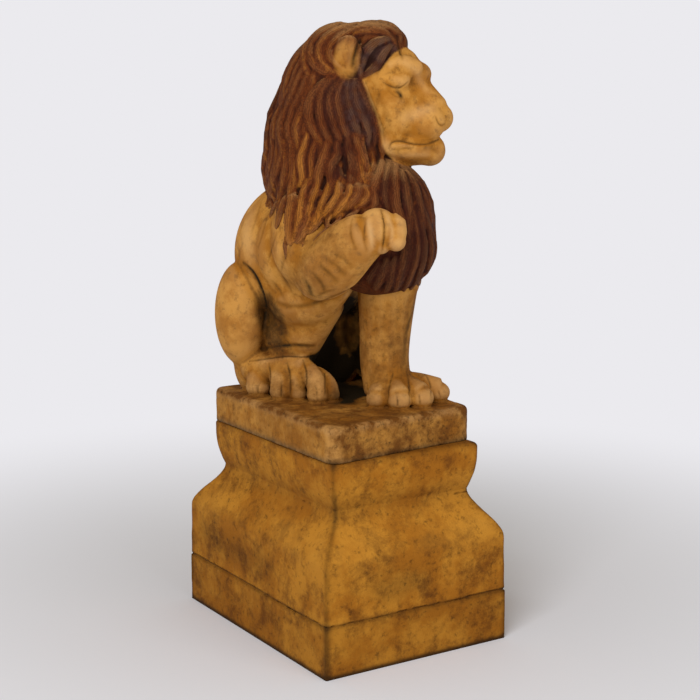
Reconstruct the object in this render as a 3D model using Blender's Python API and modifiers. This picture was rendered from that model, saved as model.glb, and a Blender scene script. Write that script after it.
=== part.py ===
"""Garden lion of cast stone on a flared pedestal.

Metres, +Z up.  The origin is the middle of the pedestal's underside.  The lion sits facing -Y, turns
its head to its own left (+X) and lifts its right forepaw in front of its chest.  The lion is cast in
one with a low slab, and the slab rests on the pedestal.
"""

import math

import bmesh
import bpy
from mathutils import Matrix, Vector
from mathutils.bvhtree import BVHTree

# Pedestal: each drop is measured down from its top
PEDESTAL_WIDTH = 0.460
PEDESTAL_DEPTH = 0.605
PEDESTAL_HEIGHT = 0.436
PEDESTAL_CORNER = 0.005
BAND_HEIGHT = 0.111
GROOVE_DEPTH = 0.003
GROOVE_HALF_HEIGHT = 0.004
BELLY_INSET = 0.002
BELLY_DROP = 0.206
NECK_DROP = 0.103
NECK_INSET = 0.0595
LIP_DROP = 0.024
LIP_INSET = 0.044
LIP_ROUND = 0.009
BELLY_STEPS = 12
NECK_STEPS = 6
LIP_STEPS = 4

# Slab under the lion, and the gap between it and the pedestal
REST_GAP = 0.0003
SLAB_THICKNESS = 0.075
SLAB_OVERHANG = 0.002
SLAB_FRONT_SLANT = 0.032
SLAB_CORNER = 0.026
SLAB_EDGE_ROUND = 0.014
SLAB_BURY = 0.012

# Lion: its height above the slab, and the grid that its form is laid out on
LION_HEIGHT = 0.811
LION_GRID = 81.0
HEAD_TURN = math.radians(52.0)
HEAD_SEAT = (0.0, -4.0, 0.4)
FACE_OPENING = math.radians(62.0)

# Fineness of the carving, and how far a roll's end stands out, as a share of its radius
END_POINT = 0.8
BODY_GRAIN = 0.009
FINE_GRAIN = 0.0055
LION_TRIANGLES = 8500

UNIT = LION_HEIGHT / LION_GRID
SLAB_TOP = PEDESTAL_HEIGHT + REST_GAP + SLAB_THICKNESS
SLAB_WIDTH = PEDESTAL_WIDTH - 2 * (LIP_INSET - SLAB_OVERHANG)
SLAB_DEPTH = PEDESTAL_DEPTH - 2 * (LIP_INSET - SLAB_OVERHANG)


def clear_scene():
    """Removes what the scene holds at the start."""
    for thing in list(bpy.data.objects):
        bpy.data.objects.remove(thing, do_unlink=True)


def make_collection(name):
    """Returns a new collection linked to the scene."""
    group = bpy.data.collections.new(name)
    bpy.context.scene.collection.children.link(group)
    return group


def stone_material(name, colour, roughness):
    """Returns a Principled material of plain stone."""
    material = bpy.data.materials.new(name)
    material.use_nodes = True
    shader = material.node_tree.nodes["Principled BSDF"]
    shader.inputs["Base Color"].default_value = (*colour, 1.0)
    shader.inputs["Roughness"].default_value = roughness
    shader.inputs["Metallic"].default_value = 0.0
    return material


def object_from_bmesh(name, shape, group):
    """Turns a bmesh into an object in the collection."""
    mesh = bpy.data.meshes.new(name)
    shape.to_mesh(mesh)
    shape.free()
    thing = bpy.data.objects.new(name, mesh)
    group.objects.link(thing)
    return thing


# Masses: the lumps and rolls that the form is built up from

def ball(centre, radii, turn=0.0, pitch=0.0, roll=0.0):
    """Returns a bmesh ellipsoid: radii along its own axes, turned about Z after pitch and roll."""
    shape = bmesh.new()
    bmesh.ops.create_icosphere(shape, subdivisions=3, radius=1.0)
    place = (
        Matrix.Translation(centre)
        @ Matrix.Rotation(math.radians(turn), 4, "Z")
        @ Matrix.Rotation(math.radians(pitch), 4, "Y")
        @ Matrix.Rotation(math.radians(roll), 4, "X")
        @ Matrix.Diagonal((*radii, 1.0))
    )
    shape.transform(place)
    return shape


def smooth_route(points, steps):
    """Reads a Catmull-Rom curve through points of any length of numbers, steps to a stretch."""
    ends = [points[0], *points, points[-1]]
    route = []
    for k in range(len(points) - 1):
        a, b, c, d = (Vector(p) for p in ends[k : k + 4])
        for step in range(steps):
            t = step / steps
            route.append(
                0.5 * (2 * b + (c - a) * t + (2 * a - 5 * b + 4 * c - d) * t * t
                       + (3 * b - a - 3 * c + d) * t ** 3)
            )
    route.append(Vector(points[-1]))
    return route


def roll_of(points, steps=4, sides=12):
    """Returns a bmesh tapered roll through (x, y, z, radius) points, pointed at both ends."""
    route = smooth_route([Vector(p) for p in points], steps)
    places = [Vector(p[:3]) for p in route]
    shape = bmesh.new()
    rings = []
    side = (places[1] - places[0]).orthogonal()
    for k, place in enumerate(places):
        ahead = (places[min(k + 1, len(places) - 1)] - places[max(k - 1, 0)]).normalized()
        side = (side - ahead * side.dot(ahead)).normalized()
        up = ahead.cross(side)
        ring = []
        for n in range(sides):
            angle = math.tau * n / sides
            offset = side * math.cos(angle) + up * math.sin(angle)
            ring.append(shape.verts.new(place + offset * route[k][3]))
        rings.append(ring)
    for low, high in zip(rings, rings[1:]):
        for n in range(sides):
            m = (n + 1) % sides
            shape.faces.new((low[n], low[m], high[m], high[n]))
    for ring, end, inner in ((rings[0], 0, 1), (rings[-1], -1, -2)):
        outward = (places[end] - places[inner]).normalized()
        tip = shape.verts.new(places[end] + outward * route[end][3] * END_POINT)
        for n in range(sides):
            shape.faces.new((ring[n], ring[(n + 1) % sides], tip))
    bmesh.ops.recalc_face_normals(shape, faces=shape.faces)
    return shape


def fuse(name, masses, grain, smoothing, group, base=None):
    """Joins masses, and a base object if given, into one closed skin, then smooths it."""
    whole = bmesh.new()
    if base:
        whole.from_mesh(base.data)
    for mass in masses:
        piece = bpy.data.meshes.new("mass")
        mass.to_mesh(piece)
        mass.free()
        whole.from_mesh(piece)
        bpy.data.meshes.remove(piece)
    if base:
        bpy.data.objects.remove(base, do_unlink=True)
    thing = object_from_bmesh(name, whole, group)
    skin = thing.modifiers.new("skin", "REMESH")
    skin.mode = "VOXEL"
    skin.voxel_size = grain
    if smoothing:
        soften = thing.modifiers.new("soften", "SMOOTH")
        soften.factor = 0.5
        soften.iterations = smoothing
    return settle(thing, group)


def settle(thing, group):
    """Replaces an object with its evaluated mesh and returns the new object."""
    graph = bpy.context.evaluated_depsgraph_get()
    mesh = bpy.data.meshes.new_from_object(thing.evaluated_get(graph))
    name = thing.name
    bpy.data.objects.remove(thing, do_unlink=True)
    done = bpy.data.objects.new(name, mesh)
    mesh.name = name
    group.objects.link(done)
    return done


# Body, in grid units: x to the lion's left, y to its tail, z up from the slab's top

def body_masses():
    """Returns the masses of the trunk, haunches, limbs and tail."""
    return [
        ball((0, 16.8, 12), (13.0, 8.2, 13)),
        ball((7.0, 17.0, 7.0), (9.0, 7.5, 9.0)),
        ball((-1.6, 12.9, 31), (16.2, 14.9, 16.8)),
        ball((0, 16.5, 20), (13.6, 9.4, 13)),
        ball((0, 1.5, 38), (15.2, 14.5, 14)),
        ball((-6.5, 4.5, 33), (11.3, 9.5, 12)),
        ball((2.5, 1.0, 31), (9.5, 10.0, 7)),
        # right flank, coming down to the foot in front of the hollow under the belly
        roll_of([(-6.6, -5.5, 29, 6.6), (-8.0, 1.0, 23.2, 7.0), (-8.6, 8.5, 21.0, 5.4)]),
        ball((-9.0, 2.6, 16.0), (3.4, 4.4, 7.6)),
        # right haunch: knee up at the slab's edge, thigh running back to the rump
        ball((-16.2, 17.2, 18.8), (5.6, 6.8, 12.6), turn=-20, roll=4),
        ball((-13.8, 15.2, 6.5), (4.4, 5.6, 7.4), turn=-20),
        ball((-9.0, 20.5, 15), (8.0, 5.8, 10.5)),
        # left haunch, a little further forward
        ball((12.0, 11.0, 17), (5.8, 9.0, 12), turn=15, roll=-8),
        ball((13.8, 9.0, 6.5), (4.0, 6.2, 6.0)),
        # shoulders and upper arms
        roll_of([(-8.5, -1.0, 42, 8.0), (-10.4, -4.5, 34, 8.6), (-11.0, -7.5, 29.5, 6.6)]),
        roll_of([(7.5, -3.0, 42, 8.4), (7.2, -7.0, 32, 8.2), (6.2, -8.8, 24, 6.6)]),
        # raised forearm
        roll_of([(-11.4, -8.6, 28.0, 5.4), (-10.7, -13.0, 31.4, 6.3), (-8.7, -17.4, 35.6, 5.6),
                 (-6.6, -20.8, 38.4, 4.6)]),
        # standing foreleg
        roll_of([(6.2, -8.6, 25, 6.6), (5.7, -8.6, 16, 5.7), (5.5, -8.6, 9, 5.4), (5.9, -9.6, 2.5, 5.4)]),
        # right hind foot, turned out along the slab's edge
        roll_of([(-12.8, 14.5, 7.6, 3.4), (-11.6, 8.5, 8.0, 3.1), (-10.4, 3.0, 8.3, 2.4)]),
        # tail, laid round the left haunch
        roll_of([(4, 22, 3.5, 2.6), (11, 23.5, 2.4, 2.3), (16, 19.5, 1.9, 2.1), (16.8, 12, 1.8, 2.0),
                 (16.0, 4.5, 1.9, 2.3), (14.4, -1.0, 1.9, 2.8)], steps=5),
    ]


def raised_paw():
    """Returns the masses of the raised right paw, its toes hanging down side by side."""
    centre = Vector((-5.4, -22.0, 39.0))
    across = Vector((0.84, -0.54, 0.0))
    toes = [ball(centre, (4.3, 3.8, 4.5), turn=-33)]
    for reach, drop, size in ((-2.6, -0.9, 2.3), (0.0, -0.2, 2.9), (3.2, 0.3, 2.3)):
        root = centre + across * reach + Vector((0.0, 0.0, drop + 1.8))
        tip = root + Vector((-0.4, -0.8, -4.4))
        toes.append(roll_of([(*root, size * 0.9), (*root.lerp(tip, 0.6), size), (*tip, size * 0.8)]))
    return toes


def toe(root, tip, radius, arch):
    """Returns a toe as a roll from its root to its tip on the slab, arched over the knuckle."""
    knuckle = (root[0] + (tip[0] - root[0]) * 0.62, root[1] + (tip[1] - root[1]) * 0.62, arch)
    return roll_of(
        [(*root, radius * 1.1), (*knuckle, radius * 1.08), (*tip, radius * 0.80, radius * 0.95)]
    )


def ground_paws():
    """Returns the toes of the three paws on the slab."""
    toes = []
    for tip, radius in (((0.9, -13.2), 2.4), ((3.7, -16.8), 2.5), ((8.8, -17.6), 2.6), ((15.4, -14.6), 2.5)):
        toes.append(toe((5.8, -9.8, 4.0), tip, radius, 3.9))
    for root, tip, radius, arch in (
        ((-12.4, 13.8, 6.0), (-15.3, 12.2), 2.9, 4.6),
        ((-11.6, 9.0, 6.2), (-13.9, 6.2), 2.5, 5.0),
        ((-10.4, 5.4, 6.4), (-12.2, 2.4), 1.9, 5.2),
        ((-9.2, 2.6, 6.2), (-9.6, -3.6), 2.4, 5.0),
        ((-7.2, 2.0, 5.4), (-6.4, -4.0), 2.0, 4.2),
    ):
        toes.append(toe(root, tip, radius, arch))
    for tip in ((10.0, -2.6), (13.2, -3.6), (15.8, -1.6)):
        toes.append(toe((12.6, 4.0, 3.4), tip, 2.4, 3.4))
    return toes


# Head, in grid units: x ahead of the neck along the face, y to its left, z up from the slab's top

def head_masses():
    """Returns the masses of the skull, nose, muzzle, cheeks, jaw and brows."""
    masses = [
        ball((5.5, 0, 66.5), (8.3, 7.4, 8.9)),
        ball((9.7, 0, 71.2), (4.7, 5.0, 4.4)),
        ball((12.9, 0, 69.9), (3.8, 3.9, 2.7)),
        ball((17.9, 0, 60.9), (3.5, 3.3, 3.1)),
        ball((12.8, 0, 54.9), (7.0, 4.7, 3.4)),
        ball((16.6, 0, 54.2), (3.3, 3.6, 2.9)),
        ball((7.0, 0, 58.0), (6.0, 6.8, 6.4)),
        roll_of([(11.5, 0, 68.4, 4.0), (14.8, 0, 65.4, 3.1), (17.8, 0, 62.2, 3.0)]),
        roll_of([(6.0, 0, 66.0, 6.8), (10.5, 0, 63.0, 6.1), (14.5, 0, 60.6, 4.8)]),
    ]
    for side in (-1, 1):
        masses += [
            ball((15.0, side * 2.5, 59.9), (4.9, 3.3, 4.2)),
            ball((7.8, side * 4.4, 61.5), (5.2, 3.5, 7.0)),
            roll_of([(7.0, side * 4.4, 56.4, 3.2), (11.5, side * 3.2, 54.8, 2.9),
                     (16.0, side * 1.8, 54.4, 2.6)]),
            roll_of([(8.4, side * 5.9, 71.6, 1.1), (11.2, side * 5.0, 72.0, 1.4),
                     (14.2, side * 2.9, 70.8, 1.6)]),
            ball((10.0, side * 5.3, 69.0), (2.5, 1.6, 2.1)),
        ]
    return masses


def mane_masses():
    """Returns the body of the mane: round the head in the head's own grid, and round the neck."""
    head = [
        ball((-2.8, 0, 65.8), (12.4, 11.6, 13.4)),
        ball((4.4, 0, 74.7), (7.6, 7.8, 6.2)),
        ball((0.5, 0, 58.0), (8.0, 10.6, 13.0)),
    ]
    neck = [
        ball((-1.0, 1.4, 58.0), (13.2, 13.0, 11)),
        ball((-0.4, 2.0, 50), (14.1, 14.1, 17)),
        ball((1.4, -9.4, 41), (12.6, 10.0, 13)),
        ball((2.8, -9.8, 34), (11.8, 9.6, 9.4)),
    ]
    return head, neck


def head_place():
    """Returns the matrix from the head's own grid to the lion's."""
    return Matrix.Translation(HEAD_SEAT) @ Matrix.Rotation(HEAD_TURN - math.pi / 2, 4, "Z")


def placed(masses, matrix):
    """Moves masses by a matrix and returns them."""
    for mass in masses:
        mass.transform(matrix)
    return masses


# Mane locks, laid over the mane's skin

def lay_lock(skin, course, width, sway, strides=9):
    """Returns the (x, y, z, radius) points of a lock that follows a course pressed onto the skin."""
    route = smooth_route([Vector(p) for p in course], max(2, strides // (len(course) - 1)))
    points = []
    for k, place in enumerate(route):
        share = k / (len(route) - 1)
        swell = math.sin(math.pi * min(1.0, 0.12 + share * 0.75))
        thickness = width * (0.22 + 0.78 * swell)
        ahead = (route[min(k + 1, len(route) - 1)] - route[max(k - 1, 0)]).normalized()
        foot, normal, _, _ = skin.find_nearest(place)
        across = normal.cross(ahead) * sway * math.sin(math.tau * share)
        foot, normal, _, _ = skin.find_nearest(foot + across)
        points.append((*(foot + normal * thickness * 0.15), thickness))
    return points


def crown_courses():
    """Returns (course, width) of the locks round the face and over the head, in the head's own grid."""
    courses = []
    for side in (-1, 1):
        # temple lock, sweeping back from the forehead to in front of the ear
        courses.append(([(9.8, side * 5.0, 77.5), (7.4, side * 7.6, 75.4), (4.6, side * 9.4, 72.0),
                         (2.4, side * 10.2, 69.0)], 2.0))
        # fan down the cheek from below the ear
        for k in range(6):
            spread = k / 5
            courses.append(([(2.2 - 4.4 * spread, side * 10.4, 69.0 + 0.6 * spread),
                             (4.2 - 10.0 * spread, side * 11.2, 62.0 + 0.5 * spread),
                             (6.6 - 15.0 * spread, side * (9.0 + 2.4 * spread), 52.0 + 1.5 * spread)], 1.55))
        # swept back over the crown, above and behind the ear
        for k in range(6):
            lift = k / 5
            courses.append(([(10.0 - 6.0 * lift, side * (1.2 + 1.6 * lift), 79.0 + 0.2 * lift),
                             (-1.6 - 3.0 * lift, side * (8.0 - 3.4 * lift), 78.0 + 0.6 * lift),
                             (-6.4 - 4.6 * lift, side * (10.6 - 6.4 * lift), 68.0 + 2.5 * lift),
                             (-9.0 - 5.0 * lift, side * (10.6 - 8.6 * lift), 56.0)], 1.5))
    return courses


def neck_courses():
    """Returns (course, width) of the hanging locks: tiers round the neck, then down the chest."""
    courses = []
    forward = Vector((math.sin(HEAD_TURN), -math.cos(HEAD_TURN), 0))
    for tier, (height, count, length, width) in enumerate(((60, 18, 15, 2.0), (52, 18, 15, 2.1))):
        for k in range(count):
            angle = math.tau * (k + 0.5 * tier) / count
            start = height + 2.0 * (k % 2)
            reach = Vector((math.sin(angle), math.cos(angle), 0)) * 16
            if reach.angle(forward) < FACE_OPENING:
                continue
            drift = Vector((math.cos(angle), -math.sin(angle), 0)) * 1.5 * (1 if math.sin(angle) > 0 else -1)
            courses.append(([reach + Vector((0, 0, start)),
                             reach + drift * 0.5 + Vector((0, 0, start - length * 0.5)),
                             reach + drift + Vector((0, 0, start - length))], width))
    for tier, (height, length) in enumerate(((46.5, 12.5), (41, 14))):
        for k in range(9):
            angle = math.radians(-62 + 124 * (k + 0.5 * tier) / 8.5)
            reach = Vector((1.5 + math.sin(angle) * 14, -8 - math.cos(angle) * 13, height + k % 2))
            middle = reach - Vector((0, 0, length * 0.5))
            courses.append(([reach, middle, reach - Vector((0, 0, length))], 2.0))
    return courses


def mane_locks(skin):
    """Returns the rolls of the mane's main locks."""
    turn = head_place()
    courses = [([turn @ Vector(p) for p in course], width) for course, width in crown_courses()]
    courses += neck_courses()
    locks = []
    for k, (course, width) in enumerate(courses):
        points = lay_lock(skin, course, width, 0.9 * (-1) ** k)
        locks.append(roll_of(points, steps=1, sides=8))
    return locks


# Slab and the whole figure

def slab(group):
    """Returns the low slab: a rounded plate whose front edge runs back towards the lion's left."""
    half_width = SLAB_WIDTH / 2
    half_depth = SLAB_DEPTH / 2
    shape = bmesh.new()
    bmesh.ops.create_cube(shape, size=1.0)
    bottom = PEDESTAL_HEIGHT + REST_GAP
    for vert in shape.verts:
        x = math.copysign(half_width, vert.co.x)
        y = math.copysign(half_depth, vert.co.y)
        if x > 0 and y < 0:
            y += SLAB_FRONT_SLANT
        vert.co = (x, y, bottom if vert.co.z < 0 else SLAB_TOP)
    upright = [e for e in shape.edges if abs(e.verts[0].co.z - e.verts[1].co.z) > SLAB_THICKNESS / 2]
    bmesh.ops.bevel(shape, geom=upright, offset=SLAB_CORNER, segments=5, profile=0.5, affect="EDGES")
    rim = [e for e in shape.edges if min(v.co.z for v in e.verts) > SLAB_TOP - REST_GAP
           and len({f.normal.z > 0.5 for f in e.link_faces}) == 2]
    bmesh.ops.bevel(shape, geom=rim, offset=SLAB_EDGE_ROUND, segments=3, profile=0.5, affect="EDGES")
    return object_from_bmesh("slab", shape, group)


def keep_largest(thing):
    """Deletes loose shells, such as sealed hollows left inside, and keeps the largest."""
    shape = bmesh.new()
    shape.from_mesh(thing.data)
    unseen = set(shape.verts)
    shells = []
    while unseen:
        queue = [unseen.pop()]
        shell = set(queue)
        while queue:
            for edge in queue.pop().link_edges:
                for vert in edge.verts:
                    if vert in unseen:
                        unseen.discard(vert)
                        shell.add(vert)
                        queue.append(vert)
        shells.append(shell)
    shells.sort(key=len)
    loose = [vert for shell in shells[:-1] for vert in shell]
    bmesh.ops.delete(shape, geom=loose, context="VERTS")
    shape.to_mesh(thing.data)
    shape.free()


def build_lion(parts, cutters, material):
    """Builds the lion with its slab and puts it in the parts collection."""
    turn = head_place()
    scale = Matrix.Translation((0, 0, SLAB_TOP)) @ Matrix.Scale(UNIT, 4)
    to_grid = scale.inverted()
    head_mane, neck_mane = mane_masses()

    masses = body_masses() + neck_mane + placed(head_mane, turn)
    lion = fuse("lion", placed(masses, scale), BODY_GRAIN, 8, parts)
    fine = ground_paws() + raised_paw() + placed(head_masses(), turn)
    lion = fuse("lion", placed(fine, scale), FINE_GRAIN, 3, parts, base=lion)

    shape = bmesh.new()
    shape.from_mesh(lion.data)
    shape.transform(to_grid)
    skin = BVHTree.FromBMesh(shape)
    locks = mane_locks(skin)
    shape.free()
    ears = [ball((0.5, side * 10.0, 73.4), (2.2, 2.0, 4.0), pitch=8) for side in (-1, 1)]
    lion = fuse("lion", placed(locks + placed(ears, turn), scale), FINE_GRAIN, 1, parts, base=lion)

    keep_largest(lion)
    trim = lion.modifiers.new("trim", "DECIMATE")
    trim.ratio = LION_TRIANGLES / (2 * len(lion.data.polygons))
    lion = settle(lion, parts)

    floor_cut = bmesh.new()
    bmesh.ops.create_cube(floor_cut, size=2.0)
    floor_cut.transform(Matrix.Translation((0, 0, SLAB_TOP - SLAB_BURY - 1.0)))
    cutter = object_from_bmesh("below_the_slab_top", floor_cut, cutters)
    plate = slab(cutters)
    for tool in (cutter, plate):
        tool.hide_render = True
        tool.display_type = "WIRE"
    flat = lion.modifiers.new("flat", "BOOLEAN")
    flat.operation = "DIFFERENCE"
    flat.object = cutter
    join = lion.modifiers.new("slab", "BOOLEAN")
    join.operation = "UNION"
    join.object = plate
    lion = settle(lion, parts)
    keep_largest(lion)
    lion.data.materials.clear()
    lion.data.materials.append(material)
    return lion


def pedestal_profile():
    """Returns the (inset, height) points of the pedestal's side, from the base up to the rounded lip."""
    points = [
        (0.0, BAND_HEIGHT - GROOVE_HALF_HEIGHT),
        (GROOVE_DEPTH, BAND_HEIGHT),
        (BELLY_INSET * 0.5, BAND_HEIGHT + GROOVE_HALF_HEIGHT),
        (BELLY_INSET, PEDESTAL_HEIGHT - BELLY_DROP),
    ]
    for k in range(1, BELLY_STEPS + 1):
        t = k / BELLY_STEPS
        ease = t * t * (3 - 2 * t)
        drop = BELLY_DROP + (NECK_DROP - BELLY_DROP) * t
        points.append((BELLY_INSET + (NECK_INSET - BELLY_INSET) * ease, PEDESTAL_HEIGHT - drop))
    for k in range(1, NECK_STEPS + 1):
        t = k / NECK_STEPS
        ease = 1 - (1 - t) ** 2
        drop = NECK_DROP + (LIP_DROP - NECK_DROP) * t
        points.append((NECK_INSET + (LIP_INSET - NECK_INSET) * ease, PEDESTAL_HEIGHT - drop))
    for k in range(LIP_STEPS + 1):
        angle = 0.5 * math.pi * k / LIP_STEPS
        points.append(
            (LIP_INSET + LIP_ROUND * (1 - math.cos(angle)),
             PEDESTAL_HEIGHT - LIP_ROUND + LIP_ROUND * math.sin(angle))
        )
    return points


def build_pedestal(parts, material):
    """Builds the pedestal by drawing its base outline up through the profile."""
    shape = bmesh.new()
    bmesh.ops.create_grid(shape, x_segments=1, y_segments=1, size=0.5)
    bmesh.ops.scale(shape, vec=(PEDESTAL_WIDTH, PEDESTAL_DEPTH, 1.0), verts=shape.verts)
    bmesh.ops.bevel(
        shape, geom=shape.verts[:], offset=PEDESTAL_CORNER, segments=3, profile=0.5, affect="VERTICES"
    )
    base = shape.faces[:]
    bmesh.ops.reverse_faces(shape, faces=base)
    top = base
    inset_now = 0.0
    height_now = 0.0
    for inset, height in pedestal_profile():
        drawn = bmesh.ops.extrude_face_region(shape, geom=top)
        if top is not base:
            bmesh.ops.delete(shape, geom=top, context="FACES_ONLY")
        verts = [g for g in drawn["geom"] if isinstance(g, bmesh.types.BMVert)]
        top = [g for g in drawn["geom"] if isinstance(g, bmesh.types.BMFace)]
        bmesh.ops.translate(shape, vec=(0, 0, height - height_now), verts=verts)
        narrowing = Vector((
            (PEDESTAL_WIDTH - 2 * inset) / (PEDESTAL_WIDTH - 2 * inset_now),
            (PEDESTAL_DEPTH - 2 * inset) / (PEDESTAL_DEPTH - 2 * inset_now),
            1.0,
        ))
        bmesh.ops.scale(shape, vec=narrowing, verts=verts)
        inset_now = inset
        height_now = height
    bmesh.ops.recalc_face_normals(shape, faces=shape.faces)
    pedestal = object_from_bmesh("pedestal", shape, parts)
    pedestal.data.materials.append(material)
    return pedestal


def main():
    """Builds the pedestal and the lion that rests on it."""
    clear_scene()
    parts = make_collection("garden_lion")
    cutters = make_collection("garden_lion_cutters")
    lion_stone = stone_material("lion_stone", (0.42, 0.23, 0.075), 0.78)
    pedestal_stone = stone_material("pedestal_stone", (0.40, 0.20, 0.05), 0.82)
    build_pedestal(parts, pedestal_stone)
    build_lion(parts, cutters, lion_stone)


main()
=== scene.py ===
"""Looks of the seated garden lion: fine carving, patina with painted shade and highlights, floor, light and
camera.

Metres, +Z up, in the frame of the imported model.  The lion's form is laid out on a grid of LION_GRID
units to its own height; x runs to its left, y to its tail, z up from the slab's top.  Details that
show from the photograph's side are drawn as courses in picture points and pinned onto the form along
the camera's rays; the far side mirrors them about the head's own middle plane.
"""

from __future__ import annotations

import logging
import math
from collections.abc import Callable
from dataclasses import dataclass, field
from enum import Enum

import bmesh
import bpy
import numpy as np
from mathutils import Matrix, Vector
from mathutils.bvhtree import BVHTree
from mathutils.kdtree import KDTree

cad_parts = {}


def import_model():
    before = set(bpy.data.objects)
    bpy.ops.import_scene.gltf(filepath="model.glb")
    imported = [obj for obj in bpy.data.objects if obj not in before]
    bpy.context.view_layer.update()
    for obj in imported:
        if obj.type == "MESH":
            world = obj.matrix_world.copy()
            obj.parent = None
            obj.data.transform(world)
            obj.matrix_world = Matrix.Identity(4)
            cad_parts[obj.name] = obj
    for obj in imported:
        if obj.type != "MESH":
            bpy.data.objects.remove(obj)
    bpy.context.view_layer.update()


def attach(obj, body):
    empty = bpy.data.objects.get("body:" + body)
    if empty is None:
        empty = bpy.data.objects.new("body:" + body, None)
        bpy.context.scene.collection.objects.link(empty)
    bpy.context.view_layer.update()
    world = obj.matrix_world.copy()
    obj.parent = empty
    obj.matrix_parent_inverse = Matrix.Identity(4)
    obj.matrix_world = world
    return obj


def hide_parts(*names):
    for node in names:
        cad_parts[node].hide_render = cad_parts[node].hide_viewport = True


LOG = logging.getLogger("garden_lion")

# Pedestal
PEDESTAL_WIDTH = 0.460
PEDESTAL_DEPTH = 0.605
PEDESTAL_HEIGHT = 0.436
BAND_HEIGHT = 0.111
GROOVE_DEPTH = 0.003
GROOVE_HALF_HEIGHT = 0.004
BELLY_INSET = 0.002
BELLY_DROP = 0.206
NECK_DROP = 0.103
NECK_INSET = 0.0595
LIP_DROP = 0.024
LIP_INSET = 0.044
LIP_ROUND = 0.009

# Slab under the lion
REST_GAP = 0.0003
SLAB_THICKNESS = 0.075
SLAB_OVERHANG = 0.002
SLAB_FRONT_SLANT = 0.032
SLAB_CORNER = 0.026
SLAB_EDGE_ROUND = 0.011
SLAB_WIDTH = PEDESTAL_WIDTH - 2 * (LIP_INSET - SLAB_OVERHANG)
SLAB_DEPTH = PEDESTAL_DEPTH - 2 * (LIP_INSET - SLAB_OVERHANG)
SLAB_BOTTOM = PEDESTAL_HEIGHT + REST_GAP
SLAB_TOP = SLAB_BOTTOM + SLAB_THICKNESS

# Lion
LION_HEIGHT = 0.811
LION_GRID = 81.0
UNIT = LION_HEIGHT / LION_GRID
HEAD_TURN = math.radians(52.0)
HEAD_SEAT = (0.0, -4.0, 0.4)
MANE_SWELL = 1.0
CROWN_SWELL = -0.1

# Fineness of the meshes
FORM_GRAIN = 0.0048
FACE_GRAIN = 0.0036
SKIN_GRAIN = 0.006
BODY_GRAIN = 0.0031
MANE_GRAIN = 0.0023
MOST_TRIANGLES = 196000

# Width in metres that one picture point covers at the lion
PICTURE_POINT = 0.00222
MILLIMETRE = 0.001

# Metres from the camera to the lion
USUAL_REACH = 3.3

Grid = tuple[float, ...]
Course = list[tuple[float, float]]
Value = float | tuple | bpy.types.NodeSocket


class Slot(Enum):
    """The record's material slots."""

    LION = "lion_stone"
    PEDESTAL = "pedestal_stone"


class Mask(Enum):
    """Values kept on each vertex for the materials to read."""

    MANE = "mane"
    # tone of the locks, with painted shade at their edges and painted highlight on their crests
    TONE = "tone"
    SLATE = "slate"
    # stains, and painted shadow and shade
    STAIN_AND_SHADE = "stain_and_shade"
    # painted highlights
    PALE = "pale"
    # grime, and painted shadow and shade
    GRIME_AND_SHADE = "grime_and_shade"
    GRAIN = "hair_grain"
    FINE = "fine_hollow"
    WIDE = "wide_hollow"


# Camera and its rays


@dataclass(frozen=True)
class Viewpoint:
    """Where the photograph was taken from, and its picture grid.

    Attributes:
        location: the camera's place.
        heading: degrees from +Y towards +X that it looks.
        fall: degrees that it looks down.
        lens: focal length for a sensor of the width given.
        sensor: sensor width in millimetres.
        picture: width and height of the picture in points.
    """

    location: Grid = (-1.7419, -2.7564, 1.1858)
    heading: float = 32.6
    fall: float = 9.9
    lens: float = 77.14
    sensor: float = 36.0
    picture: int = 700

    def axes(self) -> tuple[Vector, Vector, Vector]:
        """Returns the unit vectors ahead, right and up."""
        turn = math.radians(self.heading)
        down = math.radians(self.fall)
        ahead = Vector((
            math.sin(turn) * math.cos(down),
            math.cos(turn) * math.cos(down),
            -math.sin(down),
        ))
        right = Vector((math.cos(turn), -math.sin(turn), 0.0))
        return ahead, right, right.cross(ahead)

    def project(self, verts: np.ndarray) -> tuple[np.ndarray, np.ndarray]:
        """Finds where vertices show in the picture.

        Args:
            verts: rows of coordinates in metres.

        Returns:
            Their picture points, across and down.
        """
        ahead, right, up = (np.array(axis) for axis in self.axes())
        away = verts - np.array(self.location)
        reach = self.picture * self.lens / self.sensor / (away @ ahead)
        return self.picture / 2 + away @ right * reach, self.picture / 2 - away @ up * reach

    def ray(self, x: float, y: float) -> Vector:
        """Aims through the picture.

        Args:
            x: picture points across.
            y: picture points down.

        Returns:
            The unit direction from the camera.
        """
        ahead, right, up = self.axes()
        reach = self.picture * self.lens / self.sensor
        half = self.picture / 2
        return (ahead * reach + right * (x - half) - up * (y - half)).normalized()

    def build(self) -> bpy.types.Object:
        """Makes the scene's camera and returns it."""
        data = bpy.data.cameras.new("camera")
        data.lens = self.lens
        data.sensor_width = self.sensor
        camera = bpy.data.objects.new("camera", data)
        camera.location = self.location
        ahead, _, _ = self.axes()
        camera.rotation_euler = ahead.to_track_quat("-Z", "Y").to_euler()
        bpy.context.scene.collection.objects.link(camera)
        bpy.context.scene.camera = camera
        return camera


# Clay: masses as arrays, and the skin they fuse into


def unit_ball() -> tuple[np.ndarray, np.ndarray]:
    """Returns the vertices and triangles of a ball of radius 1."""
    shape = bmesh.new()
    bmesh.ops.create_icosphere(shape, subdivisions=4, radius=1.0)
    verts = np.array([v.co[:] for v in shape.verts])
    faces = np.array([[v.index for v in f.verts] for f in shape.faces])
    shape.free()
    return verts, faces


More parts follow.
